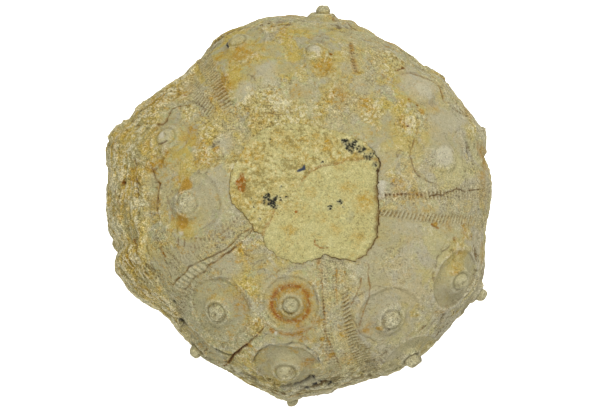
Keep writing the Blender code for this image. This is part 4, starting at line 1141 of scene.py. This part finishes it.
class Nodes:
    # a short way to place nodes and join them
    def __init__(self, tree):
        self.tree = tree

    def add(self, kind, settings=None, **inputs):
        # a node with its settings; sockets are given by name, or by number as i0, i1 and so on
        node = self.tree.nodes.new(kind)
        for key, value in (settings or {}).items():
            setattr(node, key, value)
        for key, value in inputs.items():
            numbered = key[0] == "i" and key[1:].isdigit()
            self.give(value, node.inputs[int(key[1:]) if numbered else key.replace("_", " ")])
        return node

    def give(self, value, socket):
        # joins another node's output to the socket, or sets a plain value on it
        if isinstance(value, bpy.types.NodeSocket):
            self.tree.links.new(value, socket)
        else:
            socket.default_value = value

    def group(self, tree, **inputs):
        return self.add("ShaderNodeGroup", dict(node_tree=tree), **inputs).outputs

    def noise(self, vector, scale, detail=3.0, roughness=0.55, distortion=0.0):
        return self.add("ShaderNodeTexNoise", Vector=vector, Scale=scale, Detail=detail, Roughness=roughness,
                        Distortion=distortion).outputs[0]

    def math(self, operation, a, b=0.0, clamp=False):
        return self.add("ShaderNodeMath", dict(operation=operation, use_clamp=clamp), i0=a, i1=b).outputs[0]

    def times(self, a, b, clamp=False):
        return self.math("MULTIPLY", a, b, clamp)

    def mix(self, factor, a, b, blend="MIX"):
        settings = dict(data_type="RGBA", blend_type=blend)
        return self.add("ShaderNodeMix", settings, i0=factor, i6=a, i7=b).outputs[2]

    def ramp(self, value, low, high):
        settings = dict(interpolation_type="SMOOTHSTEP")
        return self.add("ShaderNodeMapRange", settings, Value=value, From_Min=low, From_Max=high).outputs[0]

    def mask(self, name):
        return self.add("ShaderNodeAttribute", dict(attribute_name=name)).outputs["Fac"]

    def overlay(self, colour, paints, layers):
        # lays paints over a colour in turn: each where its mask or its ramped noise is, times its strength
        for where, strength, name in layers:
            where = self.mask(where) if isinstance(where, str) else where
            colour = self.mix(where if strength == 1 else self.times(where, strength), colour, paints[name])
        return colour


def newGroup(name, inputs, outputs):
    # an empty node group with named inputs, their values, and named outputs
    group = bpy.data.node_groups.new(name, "ShaderNodeTree")
    for label, kind, value in inputs:
        socket = group.interface.new_socket(label, in_out="INPUT", socket_type="NodeSocket" + kind)
        if value is not None:
            socket.default_value = value
    for label, kind in outputs:
        group.interface.new_socket(label, in_out="OUTPUT", socket_type="NodeSocket" + kind)
    n = Nodes(group)
    return n, n.add("NodeGroupInput").outputs, n.add("NodeGroupOutput")


def stoneGrainGroup():
    # fine sugary grain: lightens and darkens a colour, paints shade in the relief's low spots and highlights
    # on its high spots, and gives its height
    grey, hollow, peak = (0.5, 0.5, 0.5, 1), (0.2, 0.2, 0.1, 1), (0.7, 0.7, 0.5, 1)
    n, i, out = newGroup(
        "stoneGrain",
        [("Vector", "Vector", None), ("Color", "Color", grey), ("Contrast", "Float", 1.0),
         ("Relief", "Float", 0.5), ("Hollow", "Color", hollow), ("Peak", "Color", peak)],
        [("Color", "Color"), ("Height", "Float")],
    )
    fine = n.noise(i["Vector"], 6500, 2.0, 0.6)
    mid = n.noise(i["Vector"], 2400, 3.0, 0.6, 0.6)
    both = n.math("ADD", n.times(fine, 0.68), n.times(mid, 0.32))
    centred = n.math("SUBTRACT", both, 0.5)
    shade = n.math("ADD", n.times(centred, i["Contrast"]), 1.0)
    grey = n.add("ShaderNodeCombineColor", Red=shade, Green=shade, Blue=shade).outputs[0]
    height = n.math("ADD", n.times(centred, 0.9), i["Relief"])
    # painted shade where the relief is low, painted highlight where it is high
    layers = [(n.ramp(height, 0.50, 0.22), 0.60, "Hollow"), (n.ramp(height, 0.54, 0.80), 0.60, "Peak")]
    n.give(n.mix(1.0, n.overlay(i["Color"], i, layers), grey, "MULTIPLY"), out.inputs["Color"])
    n.give(both, out.inputs["Height"])
    return n.tree


def ironStainGroup():
    # cloudy ochre and rust over a colour, strongest where Amount is high, with flecks everywhere
    n, i, out = newGroup(
        "ironStain",
        [("Vector", "Vector", None), ("Color", "Color", (0.5, 0.5, 0.5, 1)), ("Amount", "Float", 0.0),
         ("Rust", "Float", 0.0), ("Everywhere", "Float", 0.2)],
        [("Color", "Color")],
    )
    clouds = n.noise(i["Vector"], 520, 6.0, 0.68, 0.8)
    flecks = n.noise(i["Vector"], 1900, 4.0, 0.68, 0.5)
    both = n.math("ADD", n.times(clouds, 0.45), n.times(flecks, 0.55))
    wide = n.times(n.ramp(both, 0.515, 0.615), i["Everywhere"])
    ochre = n.math("ADD", wide, n.times(i["Amount"], n.ramp(flecks, 0.30, 0.60)), True)
    rust = n.times(i["Rust"], n.ramp(flecks, 0.30, 0.58), True)
    n.give(n.overlay(i["Color"], ironPaints, [(ochre, 1, "ochre"), (rust, 1, "rust")]), out.inputs["Color"])
    return n.tree


def newMaterial(name):
    # an empty material with its shader, and the place on the object for noises
    made = bpy.data.materials.new(name)
    made.use_nodes = True
    made.node_tree.nodes.clear()
    n = Nodes(made.node_tree)
    shader = n.add("ShaderNodeBsdfPrincipled")
    n.add("ShaderNodeOutputMaterial", Surface=shader.outputs[0])
    return made, n, shader, n.add("ShaderNodeTexCoord").outputs["Object"]


def paintsOf(**colours):
    # one paint for each colour given as red, green and blue in 0..255
    return {name: paint(*colour) for name, colour in colours.items()}


ironPaints = paintsOf(ochre=(190, 150, 52), rust=(158, 94, 22))
calciteLook = dict(
    paints=paintsOf(
        buff=(190, 180, 133), warm=(198, 176, 92), cool=(180, 173, 141), green=(184, 186, 134),
        ash=(182, 178, 138), areole=(181, 172, 131), knob=(200, 192, 150), pale=(224, 219, 200),
        smear=(191, 171, 98), smearLight=(198, 184, 120), crust=(198, 172, 86), crustGrey=(175, 163, 108),
        band=(185, 174, 131), greyer=(193, 185, 158), cream=(199, 190, 138), gold=(188, 148, 54),
        # neck, foot, edge, pore and hollow are painted shade; crest and peak are painted highlights
        neck=(104, 94, 60), crest=(214, 208, 172), foot=(152, 144, 116), edge=(118, 104, 70),
        pore=(140, 116, 68), suture=(140, 122, 80), dark=(88, 56, 24), black=(42, 42, 42),
        rim=(124, 82, 34), wall=(120, 84, 42), hollow=(116, 98, 50), peak=(226, 219, 182),
    ),
    # layers of paint: the mask, how strong, the paint
    underStain=[("cool", 0.62, "paler"), ("ash", 0.45, "ash"), ("areole", 0.60, "areole"),
                ("band", 0.5, "band"), ("crust", 1, "rocky"), ("smear", 0.8, "crumbly")],
    underGrain=[("gold", 0.9, "gold"), ("knob", 0.7, "knob"), ("foot", 0.16, "foot"),
                ("crest", 0.60, "crest"), ("pale", 0.75, "pale"), ("suture", 0.25, "suture"),
                ("ridge", 0.35, "crest"), ("pore", 0.70, "pore")],
    overGrain=[("areoleEdgeShade", 0.55, "edge"), ("neck", 0.80, "neck"), ("rim", 0.75, "rim"),
               ("dark", 1, "dark"), ("black", 1, "black"), ("wall", 1, "wall")],
    everywhere=0.62, spared=("cool", 0.7),  # flecks of iron everywhere, and the mask that has fewer
    grain=3.1, bump=1.0, bumpHeight=0.0003, roughness=0.88, specular=0.25,
)
rockLook = dict(
    paints=paintsOf(
        yellow=(200, 189, 128), buff=(195, 175, 106), flake=(201, 192, 131), cream=(214, 208, 150),
        greenish=(184, 180, 122), grey=(154, 152, 124), black=(46, 46, 38), blue=(66, 74, 88),
        # hole and hollow are painted shade for pits, low spots and small dots; peak is a painted highlight
        rust=(150, 90, 36), rim=(110, 70, 26), hole=(150, 122, 62), wall=(122, 84, 40),
        hollow=(136, 118, 60), peak=(226, 218, 166),
    ),
    underGrain=[("hole", 0.45, "hole"), ("grey", 0.8, "grey")],
    overGrain=[("blue", 1, "blue"), ("black", 1, "black"), ("rim", 0.8, "rim"), ("wall", 1, "wall")],
    everywhere=0.60, spared=("flake", 0.50),
    grain=1.25, bump=0.9, bumpHeight=0.0003, roughness=0.92, specular=0.2,
)


def stoneFinish(n, shader, where, colour, look, contrast):
    # iron stain over the stone's colour, then its marks, its grain, the darkest marks, and the grain's bump
    spared, share = look["spared"]
    spread = n.times(n.math("SUBTRACT", 1.0, n.times(n.mask(spared), share)), look["everywhere"])
    stained = n.group(ironStain, Vector=where, Color=colour, Amount=n.mask("ochre"), Rust=n.mask("rust"),
                      Everywhere=spread)
    colour = n.overlay(stained["Color"], look["paints"], look["underGrain"])
    grained = n.group(stoneGrain, Vector=where, Color=colour, Contrast=contrast, Relief=n.mask("relief"),
                      Hollow=look["paints"]["hollow"], Peak=look["paints"]["peak"])
    bump = n.add("ShaderNodeBump", Strength=look["bump"], Distance=look["bumpHeight"],
                 Height=grained["Height"])
    n.give(n.overlay(grained["Color"], look["paints"], look["overGrain"]), shader.inputs["Base Color"])
    n.give(bump.outputs[0], shader.inputs["Normal"])
    n.give(look["roughness"], shader.inputs["Roughness"])
    n.give(look["specular"], shader.inputs["Specular IOR Level"])


def shellCalcite():
    # buff stone with warm, cool and green patches; rock and crumbs have patches of their own
    look, paints = calciteLook, calciteLook["paints"]
    made, n, shader, where = newMaterial("shellCalcite")
    clouds, drift = n.noise(where, 150, 5.0, 0.6, 0.4), n.noise(where, 210, 4.0, 0.6, 0.8)
    patches, spots = n.noise(where, 430, 5.0, 0.62, 0.6), n.noise(where, 1300, 4.0, 0.65, 0.4)
    colour = n.mix(n.ramp(clouds, 0.42, 0.58), paints["warm"], paints["buff"])
    mottled = [(n.ramp(patches, 0.46, 0.60), 0.9, "cool"), (n.ramp(spots, 0.52, 0.64), 0.7, "green")]
    rocky = n.mix(n.ramp(patches, 0.42, 0.58), paints["crust"], paints["crustGrey"])
    mixed = dict(
        paints,
        paler=n.mix(n.ramp(drift, 0.45, 0.56), paints["greyer"], paints["cream"]),
        rocky=n.overlay(rocky, paints, [("ash", 0.15, "ash")]),
        crumbly=n.mix(n.ramp(spots, 0.44, 0.58), paints["smear"], paints["smearLight"]),
    )
    colour = n.overlay(colour, mixed, mottled + look["underStain"])
    stoneFinish(n, shader, where, colour, look, n.times(n.mask("rugged"), look["grain"]))
    return made


def fillLimestone():
    # yellow and buff stone with cream and greenish patches, and small dots of painted shade for hollows
    look, paints = rockLook, rockLook["paints"]
    made, n, shader, where = newMaterial("fillLimestone")
    clouds, patches = n.noise(where, 220, 5.0, 0.6, 0.4), n.noise(where, 800, 5.0, 0.65, 0.6)
    tiny, dots = n.noise(where, 1700, 4.0, 0.65, 0.4), n.noise(where, 2600, 2.0, 0.5)
    colour = n.mix(n.ramp(clouds, 0.42, 0.60), paints["yellow"], paints["buff"])
    mottled = [("flake", 0.80, "flake"), (n.ramp(patches, 0.50, 0.62), 0.5, "cream"),
               (n.ramp(tiny, 0.54, 0.66), 0.6, "greenish"), (n.ramp(dots, 0.66, 0.74), 0.5, "hollow")]
    stoneFinish(n, shader, where, n.overlay(colour, paints, mottled), look, look["grain"])
    return made


def floorWhite():
    # near-white with a faint cloud; it glows a little, and more where the camera sees it directly
    made, n, shader, where = newMaterial("floorWhite")
    faint = n.ramp(n.noise(where, 30, 2.0), 0.3, 0.7)
    n.give(n.mix(faint, paint(247, 247, 246), paint(250, 250, 249)), shader.inputs["Base Color"])
    n.give(0.9, shader.inputs["Roughness"])
    n.give((1, 1, 1, 1), shader.inputs["Emission Color"])
    seen = n.times(n.add("ShaderNodeLightPath").outputs["Is Camera Ray"], stage["floorSeen"])
    n.give(n.math("ADD", seen, stage["floorGlow"]), shader.inputs["Emission Strength"])
    return made


stoneGrain, ironStain = stoneGrainGroup(), ironStainGroup()
calcite, limestone = shellCalcite(), fillLimestone()

print("making the rock in the middle")
fill = rockPiece()
fill.data.materials.append(limestone)
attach(fill, "root")
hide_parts("sediment_fill")

bandGrid, plateGrid = (40, 320, 90), (220, 245, 72)  # columns, dense rows, sparse rows of one piece

slices = {name: (bandEdge(name, -1), bandEdge(name, 1), *bandGrid) for name in bands}
for name, (before, after) in plateFields.items():
    start, end = (bandMiddle(band, np.array([60.0]))[0] for band in (before, after))
    slices[name] = (bandEdge(before, 1), bandEdge(after, -1, 1 if end < start else 0), *plateGrid)

for name, grid in slices.items():
    print("making", name)
    piece = shellPiece(name, *grid)
    piece.data.materials.append(calcite)
    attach(piece, "root")
    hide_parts("test")

print("setting the stage")
stage = dict(
    floorSize=1.2, floorSeen=1.0, floorGlow=0.15, sky=0.31, lightTarget=(0, 0, 0.015),
    lights=dict(keyLight=((0.14, 0.30, 0.64), 0.36, 3.10), fillLight=((-0.20, -0.45, 0.55), 0.7, 1.85)),
    cameraAway=0.30, cameraHeight=83, lens=153.85, shiftRight=0.00040, shiftUp=0.00080,
)
floorMesh = bpy.data.meshes.new("floor")
half = stage["floorSize"] / 2
corners = [(-half, -half, 0), (half, -half, 0), (half, half, 0), (-half, half, 0)]
floorMesh.from_pydata(corners, [], [(0, 1, 2, 3)])
floor = bpy.data.objects.new("floor", floorMesh)
bpy.context.scene.collection.objects.link(floor)
floorMesh.materials.append(floorWhite())

for name, (place, size, power) in stage["lights"].items():
    data = bpy.data.lights.new(name, "AREA")
    data.size = size
    data.energy = power
    light = bpy.data.objects.new(name, data)
    light.location = place
    light.rotation_euler = (Vector(stage["lightTarget"]) - Vector(place)).to_track_quat("-Z", "Y").to_euler()
    bpy.context.scene.collection.objects.link(light)
world = bpy.data.worlds.new("studio")
bpy.context.scene.world = world
world.use_nodes = True
world.node_tree.nodes["Background"].inputs[0].default_value = (1.0, 1.0, 1.0, 1)
world.node_tree.nodes["Background"].inputs[1].default_value = stage["sky"]

rise = math.radians(stage["cameraHeight"])
toCamera = Vector((0, -math.cos(rise), math.sin(rise)))
cameraUp = Vector((0, math.sin(rise), math.cos(rise)))
aim = Vector((shell["poleX"], shell["poleY"], shell["girdleZ"])) * 0.001
aim = aim + Vector((stage["shiftRight"], 0, 0)) + cameraUp * stage["shiftUp"]
cameraData = bpy.data.cameras.new("camera")
cameraData.lens = stage["lens"]
cameraData.sensor_width = 36
cameraData.clip_start = 0.01
camera = bpy.data.objects.new("camera", cameraData)
camera.location = aim + toCamera * stage["cameraAway"]
camera.rotation_euler = (-toCamera).to_track_quat("-Z", "Y").to_euler()
bpy.context.scene.collection.objects.link(camera)
bpy.context.scene.camera = camera
bpy.context.scene.view_settings.view_transform = "Standard"
